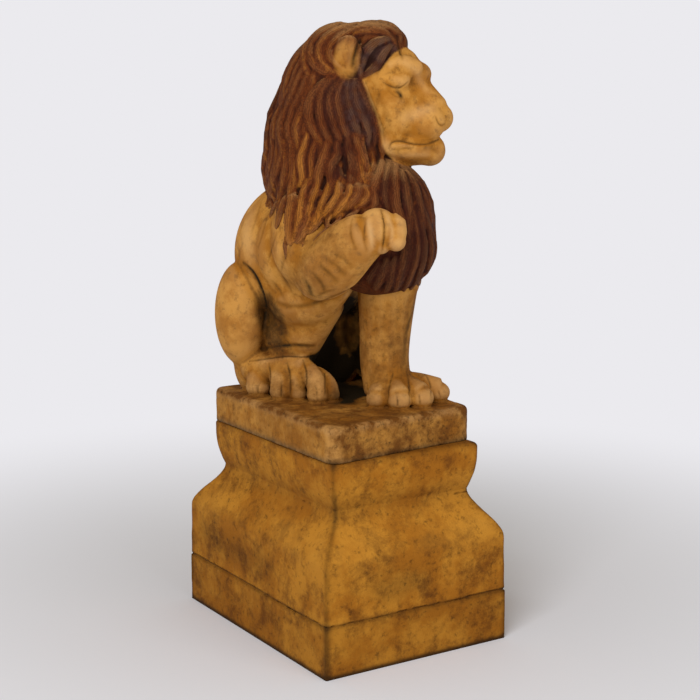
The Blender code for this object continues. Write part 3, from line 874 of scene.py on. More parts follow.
LIMB_STROKES = [
    # raised paw: grooves between the toes, and painted highlights on the toes
    Stroke([(381, 209), (384.5, 224), (384, 240), (382, 252)], 2.6, 3.2, 0.45),
    Stroke([(366, 216), (364.5, 228), (364.5, 240), (367, 251)], 2.6, 1.6, 0.25),
    Stroke([(352, 219), (350.5, 230), (352, 240), (356, 249)], 2.4, 1.4, 0.3),
    Stroke([(368, 222), (371, 236), (372, 248)], 7.0, 0.0, pale=0.7),
    Stroke([(388, 216), (392, 230), (391, 246)], 5.0, 0.0, pale=0.5),
    # turned-out hind paw: grooves between the toes, painted shade in the slots under the ledge and the
    # ridge, and a painted highlight on the ridge
    Stroke([(269, 364), (270.5, 378), (269, 394)], 2.0, 1.2, 0.75),
    Stroke([(287, 362), (290, 376), (290.5, 394)], 2.0, 1.2, 0.75),
    Stroke([(303, 360), (306.5, 374), (306.5, 392)], 2.2, 1.2, 0.75),
    Stroke([(323, 362), (325, 378), (325, 396)], 2.0, 1.0, 0.6),
    Stroke([(258, 386), (258, 394)], 1.6, 2.0, 0.5),
    Stroke([(260, 361), (282, 358), (306, 356)], 5.0, -0.8, pale=0.35),
    Stroke([(281.5, 385), (281.2, 397)], 1.8, 2.4, 0.6),
    Stroke([(317, 390), (317.5, 401)], 1.6, 1.6, 0.4),
    Stroke([(250, 361), (266, 359), (284, 356.5), (306, 357), (313, 355)], 2.2, 1.6, 0.7),
    Stroke([(262, 349), (276, 346.5), (292, 345.5), (313, 346)], 5.5, 2.4, 0.8),
    # standing paw
    Stroke([(393, 374), (389, 388), (387.5, 404)], 2.0, 0.9, 0.6),
    Stroke([(407, 372), (409, 386), (409.5, 404)], 2.0, 0.9, 0.6),
    Stroke([(424, 372), (430, 384), (431, 398)], 2.0, 0.9, 0.6),
    Stroke([(397, 397), (397.6, 406)], 1.8, 2.2, 0.5),
    Stroke([(419, 395), (420, 404.5)], 1.8, 2.2, 0.5),
    Stroke([(438.6, 391), (440.5, 397.5)], 1.7, 2.0, 0.5),
    # painted shade down the far edge of the standing leg
    Stroke([(421, 296), (413, 311), (408, 326), (405, 340), (404.5, 356)], 6.0, 0.0, 0.55),
    # haunch against the trunk, and the hollow beside it, both with painted shade
    Stroke([(243, 263), (252, 271), (259, 283), (264, 297), (266, 312), (263, 330)], 5.0, 3.0, 1.0),
    Stroke([(268, 300), (274, 318), (280, 334), (285, 343)], 11.0, 0.0, 0.6),
    # lower edge of the trunk's mass over the belly
    Stroke([(268, 298), (287, 306), (309, 305), (335, 296), (362, 282)], 6.0, 1.6, 0.35),
    # dark lines of fur at the elbow, and a painted highlight on the shoulder
    Stroke([(304, 280), (309, 287), (311, 295)], 6.5, 0.8, 0.7),
    Stroke([(313, 273), (321, 283), (325, 292)], 4.6, 0.7, 0.42),
    Stroke([(320, 265), (330, 274), (337, 282)], 4.6, 0.7, 0.45),
    Stroke([(327, 259), (338, 267), (345, 275)], 4.2, 0.6, 0.35),
    Stroke([(336, 254), (346, 261), (353, 268)], 4.0, 0.5, 0.25),
    Stroke([(295, 281), (301, 290), (303, 299)], 4.6, 0.7, 0.32),
    Stroke([(284, 278), (290, 288), (294, 297)], 4.6, 0.6, 0.3),
    Stroke([(273, 282), (280, 291), (284, 299)], 4.6, 0.6, 0.3),
    Stroke([(318, 296), (326, 292), (334, 290)], 4.0, 0.6, 0.4),
    Stroke([(250, 212), (246, 235), (252, 256)], 24.0, 0.0, pale=0.4),
    # fur brushed down the shoulder below the mane
    Stroke([(262, 200), (257, 216), (252, 232)], 3.0, 0.8, 0.25),
    Stroke([(268, 214), (263, 232), (258, 248)], 3.0, 0.8, 0.25),
    Stroke([(277, 232), (272, 248), (268, 262)], 3.0, 0.8, 0.3),
    Stroke([(290, 246), (284, 260), (281, 272)], 3.0, 0.8, 0.3),
]


# The lion's form


def head_place() -> Matrix:
    """Returns the matrix from the head's own grid to the lion's."""
    return Matrix.Translation(HEAD_SEAT) @ Matrix.Rotation(HEAD_TURN - math.pi / 2, 4, "Z")


def lion_place() -> Matrix:
    """Returns the matrix from the lion's grid to metres."""
    return Matrix.Translation((0, 0, SLAB_TOP)) @ Matrix.Scale(UNIT, 4)


def mirror_place() -> Matrix:
    """Returns the matrix, in metres, that swaps the near and far sides of the head."""
    head = lion_place() @ head_place()
    return head @ Matrix.Diagonal((1, -1, 1, 1)) @ head.inverted()


class LionForm:
    """The masses that the lion is built up from, the same as the solid's."""

    def __init__(self) -> None:
        """Sets up the lion's grid and the head's."""
        self.grid = lion_place()
        self.head = lion_place() @ head_place()

    def trunk(self, clay: Clay) -> None:
        """Adds the trunk with its shoulders, the near flank and the raised forearm.

        Args:
            clay: takes the masses.
        """
        for centre, radii in (
            ((0, 16.8, 12), (13.0, 8.2, 13)),
            ((7.0, 17.0, 7.0), (9.0, 7.5, 9.0)),
            ((-1.6, 12.9, 31), (16.2, 14.9, 16.8)),
            ((0, 16.5, 20), (13.6, 9.4, 13)),
            ((0, 1.5, 38), (15.2, 14.5, 14)),
            ((-6.5, 4.5, 33), (11.3, 9.5, 12)),
            ((2.5, 1.0, 31), (9.5, 10.0, 7)),
            ((-8.4, 10.1, 13.0), (4.6, 5.2, 9.4)),
        ):
            clay.ball(centre, radii, place=self.grid)
        for points in (
            [(-6.6, -5.5, 29, 6.6), (-8.0, 1.0, 23.2, 7.0), (-8.6, 8.5, 21.0, 5.4)],
            [(-8.5, -1.0, 42, 8.0), (-10.4, -4.5, 34, 8.6), (-11.0, -7.5, 29.5, 6.6)],
            [(7.5, -3.0, 42, 8.4), (7.2, -7.0, 32, 8.2), (6.2, -8.8, 24, 6.6)],
            [(-5.2, -0.4, 22.5, 5.4), (-6.2, 4.6, 15.0, 4.9), (-5.7, 9.6, 7.5, 3.7)],
            [(-10.8, -6.6, 28.4, 5.8), (-10.7, -12.6, 31.2, 6.5), (-8.7, -17.4, 35.6, 5.9),
             (-6.6, -20.8, 38.4, 4.9)],
        ):
            clay.roll(points, steps=6, place=self.grid)

    def near_haunch(self, clay: Clay) -> None:
        """Adds the right haunch, its knee up at the slab's edge.

        Args:
            clay: takes the masses.
        """
        clay.ball((-15.9, 17.0, 17.9), (5.9, 6.8, 11.9), turn=-20, roll=4, place=self.grid)
        clay.ball((-12.8, 17.8, 6.5), (4.2, 4.6, 7.4), turn=-20, place=self.grid)
        clay.ball((-9.0, 20.5, 15), (8.0, 5.8, 10.5), place=self.grid)

    def far_haunch(self, clay: Clay) -> None:
        """Adds the left haunch."""
        clay.ball((12.0, 11.0, 17), (5.8, 9.0, 12), turn=15, roll=-8, place=self.grid)
        clay.ball((13.8, 9.0, 6.5), (4.0, 6.2, 6.0), place=self.grid)

    def limbs(self, clay: Clay) -> None:
        """Adds the standing foreleg, the turned-out foot and the tail.

        Args:
            clay: takes the masses.
        """
        for points in (
            [(6.2, -8.6, 25, 6.6), (5.7, -8.6, 16, 5.7), (5.5, -8.6, 9, 5.4), (5.9, -9.6, 2.5, 5.4)],
            [(-14.0, 16.4, 5.6, 3.6), (-11.4, 10.2, 6.4, 3.4), (-7.2, 3.4, 6.8, 2.9)],
            [(4, 22, 3.5, 2.6), (11, 23.5, 2.4, 2.3), (16, 19.5, 1.9, 2.1), (16.8, 12, 1.8, 2.0),
             (16.0, 4.5, 1.9, 2.3), (14.4, -1.0, 1.9, 2.8)],
        ):
            clay.roll(points, steps=6, place=self.grid)

    def raised_paw(self, clay: Clay) -> None:
        """Adds the raised right paw.

        Args:
            clay: takes the masses.
        """
        centre = Vector((-5.4, -22.0, 39.0))
        across = Vector((0.84, -0.54, 0.0))
        clay.ball(centre, (4.4, 3.8, 4.5), turn=-33, place=self.grid)
        for reach, drop, size in ((-4.6, -0.6, 1.9), (-1.9, -0.9, 2.3), (0.6, -0.4, 2.3), (3.7, 0.2, 2.3)):
            root = centre + across * reach + Vector((0.0, 0.0, drop + 1.8))
            tip = root + Vector((-0.5, -0.9, -4.2))
            knuckle = root.lerp(tip, 0.6)
            clay.roll([(*root, size * 0.9), (*knuckle, size), (*tip, size * 0.8)], place=self.grid)
            clay.ball(tip, (size * 0.9,) * 3, place=self.grid)

    def toe(self, clay: Clay, root: Grid, tip: tuple[float, float], radius: float, arch: float) -> None:
        """Adds a toe.

        Args:
            clay: takes the mass.
            root: where it starts.
            tip: where it touches the slab.
            radius: its radius.
            arch: height of its knuckle.
        """
        path = [(*root, radius * 1.05)]
        for share, height in ((0.5, arch), (0.88, arch * 0.75), (1.0, radius)):
            spot = (root[0] + (tip[0] - root[0]) * share, root[1] + (tip[1] - root[1]) * share)
            path.append((*spot, height, radius * 1.05))
        clay.roll(path, place=self.grid, point=0.35)
        clay.ball((*tip, radius * 0.75), (radius * 1.12, radius * 1.12, radius * 0.95), place=self.grid)

    def ground_paws(self, clay: Clay) -> None:
        """Adds the toes of the three paws on the slab.

        Args:
            clay: takes the masses.
        """
        for tip, radius in (
            ((0.9, -13.2), 2.4), ((3.7, -16.8), 2.5), ((8.8, -17.6), 2.6), ((15.4, -14.6), 2.5),
        ):
            self.toe(clay, (5.8, -9.8, 4.0), tip, radius, 3.9)
        for root, tip, radius, arch in (
            ((-12.2, 16.4, 6.0), (-14.4, 12.0), 2.6, 5.4),
            ((-10.6, 11.0, 6.2), (-12.3, 5.6), 2.3, 5.5),
            ((-8.8, 8.0, 6.2), (-9.7, 2.9), 1.95, 5.8),
            ((-6.8, 4.4, 6.2), (-7.6, -2.2), 2.2, 5.4),
            ((-4.8, 3.0, 5.0), (-4.6, -2.4), 1.9, 4.4),
        ):
            self.toe(clay, root, tip, radius, arch)
        for tip in ((10.0, -2.6), (13.2, -3.6), (15.8, -1.6)):
            self.toe(clay, (12.6, 4.0, 3.4), tip, 2.4, 3.4)

    def skull(self, clay: Clay) -> None:
        """Adds the skull, bridge of the nose, muzzle, cheeks and jaw.

        Args:
            clay: takes the masses.
        """
        for centre, radii in (
            ((5.5, 0, 66.5), (8.4, 7.5, 9.0)),
            ((9.7, 0, 71.2), (4.8, 5.2, 4.5)),
            ((12.9, 0, 69.9), (4.0, 4.1, 2.9)),
            ((17.9, 0, 60.8), (3.7, 3.4, 3.3)),
            ((12.8, 0, 54.6), (7.1, 4.8, 3.9)),
            ((16.6, 0, 53.9), (3.4, 3.7, 3.3)),
            ((7.0, 0, 58.0), (6.2, 7.0, 6.6)),
        ):
            clay.ball(centre, radii, place=self.head)
        for points in (
            [(11.5, 0, 68.4, 4.1), (14.8, 0, 65.4, 3.3), (17.8, 0, 62.2, 3.2)],
            [(6.0, 0, 66.0, 7.0), (10.5, 0, 63.0, 6.3), (14.5, 0, 60.6, 5.0)],
        ):
            clay.roll(points, steps=6, place=self.head)
        for side in (-1, 1):
            clay.ball((15.0, side * 2.5, 59.9), (5.1, 3.4, 4.3), place=self.head)
            clay.ball((7.8, side * 4.4, 61.5), (5.4, 3.6, 7.2), place=self.head)
            clay.roll(
                [(7.0, side * 4.4, 56.4, 3.4), (11.5, side * 3.2, 54.8, 3.0), (16.0, side * 1.8, 54.4, 2.7)],
                place=self.head,
            )

    def brows(self, clay: Clay) -> None:
        """Adds the brows and the closed upper lids.

        Args:
            clay: takes the masses.
        """
        for side in (-1, 1):
            clay.roll(
                [(8.0, side * 5.7, 71.4, 1.7), (11.0, side * 5.0, 72.0, 1.9), (14.0, side * 3.0, 70.8, 1.9)],
                place=self.head,
            )
            clay.ball((9.9, side * 5.2, 68.8), (2.9, 2.2, 2.3), place=self.head)

    def mane(self, clay: Clay) -> None:
        """Adds the body of the mane, swelled to stand in for the thick of the locks.

        Args:
            clay: takes the masses.
        """
        for centre, radii in (
            ((-2.8, 0, 65.8), (12.4, 11.6, 13.4)),
            ((-2.6, 0, 72.6), (8.2, 9.0, 8.3)),
            ((4.4, 0, 75.0), (7.6, 7.8, 6.3)),
            ((0.5, 0, 58.0), (8.0, 10.6, 13.0)),
        ):
            clay.ball(centre, tuple(r + CROWN_SWELL for r in radii), place=self.head)
        for centre, radii in (
            ((-1.0, 1.4, 58.0), (13.2, 13.0, 11)),
            ((-0.4, 2.0, 50), (14.1, 14.1, 17)),
            ((2.0, -9.8, 40.2), (12.7, 10.1, 12.4)),
            ((3.3, -10.0, 34), (11.9, 9.7, 9.4)),
            ((-1.6, -10.0, 54), (3.2, 2.8, 4.0)),
            ((-5.9, -8.4, 50.5), (3.2, 2.8, 4.0)),
            ((-9.7, -5.4, 45.5), (3.0, 2.6, 4.0)),
        ):
            clay.ball(centre, tuple(r + MANE_SWELL for r in radii), place=self.grid)

    def ears(self, clay: Clay) -> None:
        """Adds the ears, half sunk in the mane."""
        for side in (-1, 1):
            clay.ball((-0.2, side * 9.1, 73.0), (3.2, 2.3, 4.7), pitch=8, place=self.head)


def slab_clay(clay: Clay) -> None:
    """Adds the slab: a rounded plate whose front edge runs back towards the lion's left.

    Args:
        clay: takes the masses.
    """
    half_width = SLAB_WIDTH / 2
    half_depth = SLAB_DEPTH / 2
    shape = bmesh.new()
    bmesh.ops.create_cube(shape, size=1.0)
    for vert in shape.verts:
        x = math.copysign(half_width, vert.co.x)
        y = math.copysign(half_depth, vert.co.y)
        if x > 0 and y < 0:
            y += SLAB_FRONT_SLANT
        vert.co = (x, y, SLAB_BOTTOM - 0.004 if vert.co.z < 0 else SLAB_TOP)
    upright = [e for e in shape.edges if abs(e.verts[0].co.z - e.verts[1].co.z) > SLAB_THICKNESS / 2]
    bmesh.ops.bevel(shape, geom=upright, offset=SLAB_CORNER, segments=6, profile=0.5, affect="EDGES")
    rim = [e for e in shape.edges if min(v.co.z for v in e.verts) > SLAB_TOP - 1e-4
           and len({f.normal.z > 0.5 for f in e.link_faces}) == 2]
    bmesh.ops.bevel(shape, geom=rim, offset=SLAB_EDGE_ROUND, segments=4, profile=0.5, affect="EDGES")
    bmesh.ops.triangulate(shape, faces=shape.faces[:])
    verts = np.array([v.co[:] for v in shape.verts])
    faces = np.array([[v.index for v in f.verts] for f in shape.faces])
    shape.free()
    clay.add(verts, faces)


class Pinner:
    """Pins courses drawn in picture points onto a form."""

    def __init__(self, form: Relief, viewpoint: Viewpoint) -> None:
        """Makes ready to search a form.

        Args:
            form: the surface.
            viewpoint: the camera.
        """
        self._tree = form.tree()
        self._view = viewpoint
        self._mirror = mirror_place()

    def flipped(self, points: np.ndarray) -> np.ndarray:
        """Returns points moved to the head's far side."""
        return moved(points, self._mirror)

    def pin(self, course: Course, steps: int = 4) -> np.ndarray:
        """Pins a course.

        Args:
            course: picture points.
            steps: samples to a stretch.

        Returns:
            Where the camera's rays through it meet the form, or the form's nearest place to them.
        """
        route = smooth_route(np.array(course), steps)
        eye = Vector(self._view.location)
        hits: list[Vector | None] = []
        for x, y in route:
            spot, _, _, _ = self._tree.ray_cast(eye, self._view.ray(x, y))
            hits.append(spot)
        reach = np.mean([(spot - eye).length for spot in hits if spot] or [USUAL_REACH])
        pinned = []
        for (x, y), spot in zip(route, hits):
            if spot is None:
                spot, _, _, _ = self._tree.find_nearest(eye + self._view.ray(x, y) * float(reach))
            pinned.append(spot[:])
        return np.array(pinned)

    def mirrored(self, points: np.ndarray) -> tuple[np.ndarray, float]:
        """Repeats points on the head's far side.

        Args:
            points: places on the near side.

        Returns:
            The far places, snapped to the form, and how far the snap moved them at most.
        """
        snapped = []
        away = 0.0
        for point in self.flipped(points):
            spot, _, _, gap = self._tree.find_nearest(Vector(point))
            snapped.append(spot[:])
            away = max(away, gap)
        return np.array(snapped), away

    def snapped(self, point: np.ndarray) -> tuple[np.ndarray, np.ndarray]:
        """Returns the nearest place on the form and its normal."""
        spot, normal, _, _ = self._tree.find_nearest(Vector(point))
        return np.array(spot), np.array(normal)


@dataclass
class StrandLayer:
    """Lays locks on a form and remembers where their strands run, for the masks.

    Attributes:
        pinner: finds the form's surface.
        random: draws the small differences between strands.
        clay: takes the locks' masses.
        places: points along every strand.
        facts: tone, slate and place across the lock at each of them.
        half: a lock's half-width as a share of the width asked for.
        tall: its half-height, the same way.
        fine: a strand's radius, the same way.
        sway: how far a lock's line swings, the same way.
        spread: how far across the lock its outer strands lie.
        wander: how far the strands' tones differ.
        jitter: how far the locks' lifts differ, in metres.
    """

    pinner: Pinner
    random: np.random.Generator
    clay: Clay = field(default_factory=Clay)
    places: list[np.ndarray] = field(default_factory=list)
    facts: list[np.ndarray] = field(default_factory=list)
    half: float = 0.63
    tall: float = 0.25
    fine: float = 0.105
    sway: float = 0.12
    spread: float = 0.78
    wander: float = 0.10
    jitter: float = 0.001

    def lay(self, points: np.ndarray, width: float, strands: int, tone: float, slate: float,
            lift: float, thick: float = 1.0) -> None:
        """Lays one lock: a lens-shaped strip with fine strands side by side on it.

        Args:
            points: the lock's middle line on the form.
            width: its full width in metres.
            strands: how many grooves part its strands.
            tone: 0 dark to 1 golden.
            slate: share of grey-violet.
            lift: how far it stands off the form in metres.
            thick: scales its section.
        """
        if len(points) > 9:
            points = smooth_route(points[:: max(1, len(points) // 7)], 3)
        count = len(points)
        share = np.linspace(0, 1, count)
        sway = width * self.sway * np.sin(self.random.uniform(0, math.tau) + share * 7.0)
        ahead = np.gradient(points, axis=0)
        middle, across, out = (np.empty((count, 3)) for _ in range(3))
        for k in range(count):
            _, normal = self.pinner.snapped(points[k])
            side = np.cross(normal, ahead[k])
            side /= np.linalg.norm(side) + 1e-12
            middle[k], out[k] = self.pinner.snapped(points[k] + side * sway[k])
            across[k] = np.cross(out[k], ahead[k])
            across[k] /= np.linalg.norm(across[k]) + 1e-12
        swell = np.sin(math.pi * (0.08 + 0.88 * share)) ** 0.6
        half = width * self.half * swell * thick
        tall = width * self.tall * swell * thick
        size = self.fine * width * swell
        rise = lift + self.random.uniform(-self.jitter, self.jitter)
        middle = middle + out * (rise * np.sin(math.pi * (0.1 + share * 0.85)))[:, None]
        self.clay.ribbon(middle, across, out, half, tall)
        for spot in np.linspace(-self.spread, self.spread, strands + 1):
            # darker at the lock's edges and lighter on its crest: painted shade and highlight across the
            # lock
            tone_and_shade = tone + self.random.normal(0, self.wander) + 0.06 - 0.45 * spot * spot
            rest = tall * math.sqrt(1 - spot * spot) - size * self.random.uniform(0.15, 0.5)
            route = middle + across * (half * spot)[:, None] + out * rest[:, None]
            self.clay.roll(np.column_stack([route, size]), steps=1, sides=8, point=1.4)
            self.places.append(route)
            tones = np.clip(tone_and_shade, 0, 1) + 0.22 * share**3
            self.facts.append(np.column_stack([tones, np.full(count, slate), np.full(count, spot)]))

    def paint(self, relief: Relief) -> None:
        """Sets the tone, slate and grain masks from the two strand points nearest to each vertex.

        Args:
            relief: the surface, changed in place.
        """
        places = np.vstack(self.places)
        facts = np.vstack(self.facts)
        tree = KDTree(len(places))
        for k, place in enumerate(places):
            tree.insert(place, k)
        tree.balance()
        read = np.empty((len(relief.verts), 3))
        for k, vert in enumerate(relief.verts):
            (_, one, near), (_, two, next_near) = tree.find_n(vert, 2)
            pull = next_near / (near + next_near + 1e-9)
            read[k] = facts[one] * pull + facts[two] * (1 - pull)
        for column, (mask, rounds) in enumerate(((Mask.TONE, 3), (Mask.SLATE, 8), (Mask.GRAIN, 1))):
            relief.masks[mask] = relief.blurred(read[:, column], rounds)


def carve(relief: Relief, strokes: list[Stroke], pinner: Pinner) -> None:
    """Cuts strokes into a relief and lays their stains, painted shade and painted highlights.

    Args:
        relief: the surface to cut.
        strokes: the strokes.
        pinner: pins them to the form.
    """
    normals = relief.normals()
    push = np.zeros(len(relief.verts))
    for stroke in strokes:
        pinned = pinner.pin(stroke.course)
        courses = [pinned]
        if stroke.both:
            courses.append(pinner.flipped(pinned))
        width = stroke.width * MILLIMETRE
        for course in courses:
            picked, away, along = relief.near_course(course, width * 3)
            if not len(picked):
                continue
            fade = bell(away, 0.0, width) * np.sin(math.pi * (0.12 + 0.76 * along)) ** 0.6
            push[picked] -= stroke.depth * MILLIMETRE * fade
            for mask, share in ((Mask.STAIN_AND_SHADE, stroke.stain_and_shade), (Mask.PALE, stroke.pale)):
                relief.masks[mask][picked] = np.maximum(relief.masks[mask][picked], share * fade)
    relief.verts = relief.verts + normals * push[:, None]


# Materials

# Specular level of the dull stone
STONE_SHINE = 0.12

# Sockets of a colour mix: share, first colour and second colour
MIX_SOCKETS = (0, 6, 7)


def paint(red: float, green: float, blue: float) -> tuple[float, float, float, float]:
    """Works out a linear colour from sRGB levels.

    Args:
        red: red, 0 to 255.
        green: green.
        blue: blue.

    Returns:
        The colour and a full alpha.
    """
    return (*(
        level / 12.92 if level <= 0.04045 else ((level + 0.055) / 1.055) ** 2.4
        for level in (red / 255, green / 255, blue / 255)
    ), 1.0)


@dataclass(frozen=True)
class Speckle:
    """Noise made into a share.

    Attributes:
        scale: lumps to a metre.
        detail: finer layers of the noise.
        rough: how much the finer layers count.
        low: noise that gives the weak share.
        high: noise that gives the strong share.
        weak: the share at low.
        strong: the share at high.
        stretch: how closely the lumps follow each other along X, Y and Z.
    """

    scale: float
    detail: float
    rough: float
    low: float
    high: float
    weak: float = 0.0
    strong: float = 1.0
    stretch: Grid = (1.0, 1.0, 1.0)


@dataclass(frozen=True)
class Wash:
    """A vertex mask made into a share.

    Attributes:
        mask: the mask.
        low: mask value that gives no share.
        high: mask value that gives the whole share.
        strength: the whole share.
    """

    mask: Mask
    low: float
    high: float
    strength: float


class NodeSheet:
    """Short ways to lay out a material's nodes."""

    def __init__(self, name: str) -> None:
        """Starts a material.

        Args:
            name: its name.
        """
        self.material = bpy.data.materials.new(name)
        self.material.use_nodes = True
        self.tree = self.material.node_tree
        self.shader = self.tree.nodes["Principled BSDF"]
        self._coordinates = self.tree.nodes.new("ShaderNodeTexCoord").outputs["Object"]

    def mask(self, mask: Mask) -> bpy.types.NodeSocket:
        """Reads a vertex mask.

        Args:
            mask: the mask.

        Returns:
            Its value.
        """
        node = self.tree.nodes.new("ShaderNodeAttribute")
        node.attribute_name = mask.value
        return node.outputs["Fac"]

    def noise(self, scale: float, detail: float = 4.0, rough: float = 0.55,
              stretch: Grid = (1.0, 1.0, 1.0)) -> bpy.types.NodeSocket:
        """Lays out noise.

        Args:
            scale: lumps to a metre.
            detail: finer layers.
            rough: how much they count.
            stretch: how closely lumps follow each other along X, Y and Z.

        Returns:
            The noise, from 0 to 1.
        """
        place = self.tree.nodes.new("ShaderNodeMapping")
        place.inputs["Scale"].default_value = stretch
        place.inputs["Location"].default_value = (scale * 0.13, scale * 0.07, 0.31)
        self.tree.links.new(self._coordinates, place.inputs["Vector"])
        node = self.tree.nodes.new("ShaderNodeTexNoise")
        node.inputs["Scale"].default_value = scale
        node.inputs["Detail"].default_value = detail
        node.inputs["Roughness"].default_value = rough
        self.tree.links.new(place.outputs["Vector"], node.inputs["Vector"])
        return node.outputs["Fac"]

    def ramp(self, value: bpy.types.NodeSocket, low: float, high: float,
             to_low: float = 0.0, to_high: float = 1.0) -> bpy.types.NodeSocket:
        """Maps a value smoothly onto another range.

        Args:
            value: the value.
            low: where it starts.
            high: where it stops.
            to_low: result at low.
            to_high: result at high.

        Returns:
            The result.
        """
        node = self.tree.nodes.new("ShaderNodeMapRange")
        node.interpolation_type = "SMOOTHSTEP"
        self.tree.links.new(value, node.inputs["Value"])
        node.inputs["From Min"].default_value = low
        node.inputs["From Max"].default_value = high
        node.inputs["To Min"].default_value = to_low
        node.inputs["To Max"].default_value = to_high
        return node.outputs["Result"]

    def math(self, kind: str, one: Value, two: Value = 0.5, three: Value = 0.0,
             clamp: bool = True) -> bpy.types.NodeSocket:
        """Works out a sum, product or the like.

        Args:
            kind: Blender's name for it.
            one: first socket or number.
            two: second one.
            three: third one, for kinds that have it.
            clamp: True to keep the result from 0 to 1.

        Returns:
            The result.
        """
        node = self.tree.nodes.new("ShaderNodeMath")
        node.operation = kind
        node.use_clamp = clamp
        for socket, value in zip(node.inputs, (one, two, three)):
            if isinstance(value, (int, float)):
                socket.default_value = value
            else:
                self.tree.links.new(value, socket)
        return node.outputs[0]

    def mix(self, share: Value, one: Value, two: Value) -> bpy.types.NodeSocket:
        """Mixes two colours.

        Args:
            share: share of the second.
            one: first colour.
            two: second colour.

        Returns:
            The mixed colour.
        """
        node = self.tree.nodes.new("ShaderNodeMix")
        node.data_type = "RGBA"
        for key, value in zip(MIX_SOCKETS, (share, one, two)):
            if isinstance(value, tuple):
                node.inputs[key].default_value = value
            else:
                self.tree.links.new(value, node.inputs[key])
        return node.outputs[2]

    def speckle(self, look: Speckle) -> bpy.types.NodeSocket:
        """Returns a speckle's share."""
        noise_level = self.noise(look.scale, look.detail, look.rough, look.stretch)
        return self.ramp(noise_level, look.low, look.high, look.weak, look.strong)

    def wash(self, look: Wash) -> bpy.types.NodeSocket:
        """Returns a wash's share."""
        return self.ramp(self.mask(look.mask), look.low, look.high, 0.0, look.strength)

    def upward(self) -> bpy.types.NodeSocket:
        """Returns how far the surface faces up, -1 to 1."""
        normal = self.tree.nodes.new("ShaderNodeNewGeometry").outputs["Normal"]
        parts = self.tree.nodes.new("ShaderNodeSeparateXYZ")
        self.tree.links.new(normal, parts.inputs[0])
        return parts.outputs["Z"]

    def bump(self, height: bpy.types.NodeSocket, depth: float) -> None:
        """Gives the shader a bump of a depth in metres.

        Args:
            height: the relief, 0 to 1.
            depth: what 1 stands for, in metres.
        """
        node = self.tree.nodes.new("ShaderNodeBump")
        node.inputs["Strength"].default_value = 1.0
        node.inputs["Distance"].default_value = depth
        self.tree.links.new(height, node.inputs["Height"])
        self.tree.links.new(node.outputs["Normal"], self.shader.inputs["Normal"])

    def finish(self, colour: bpy.types.NodeSocket, roughness: float) -> bpy.types.Material:
        """Joins the colour to the shader.

        Args:
            colour: the colour.
            roughness: the roughness.

        Returns:
            The material.
        """
        self.tree.links.new(colour, self.shader.inputs["Base Color"])
        self.shader.inputs["Roughness"].default_value = roughness
        self.shader.inputs["Specular IOR Level"].default_value = STONE_SHINE
        return self.material


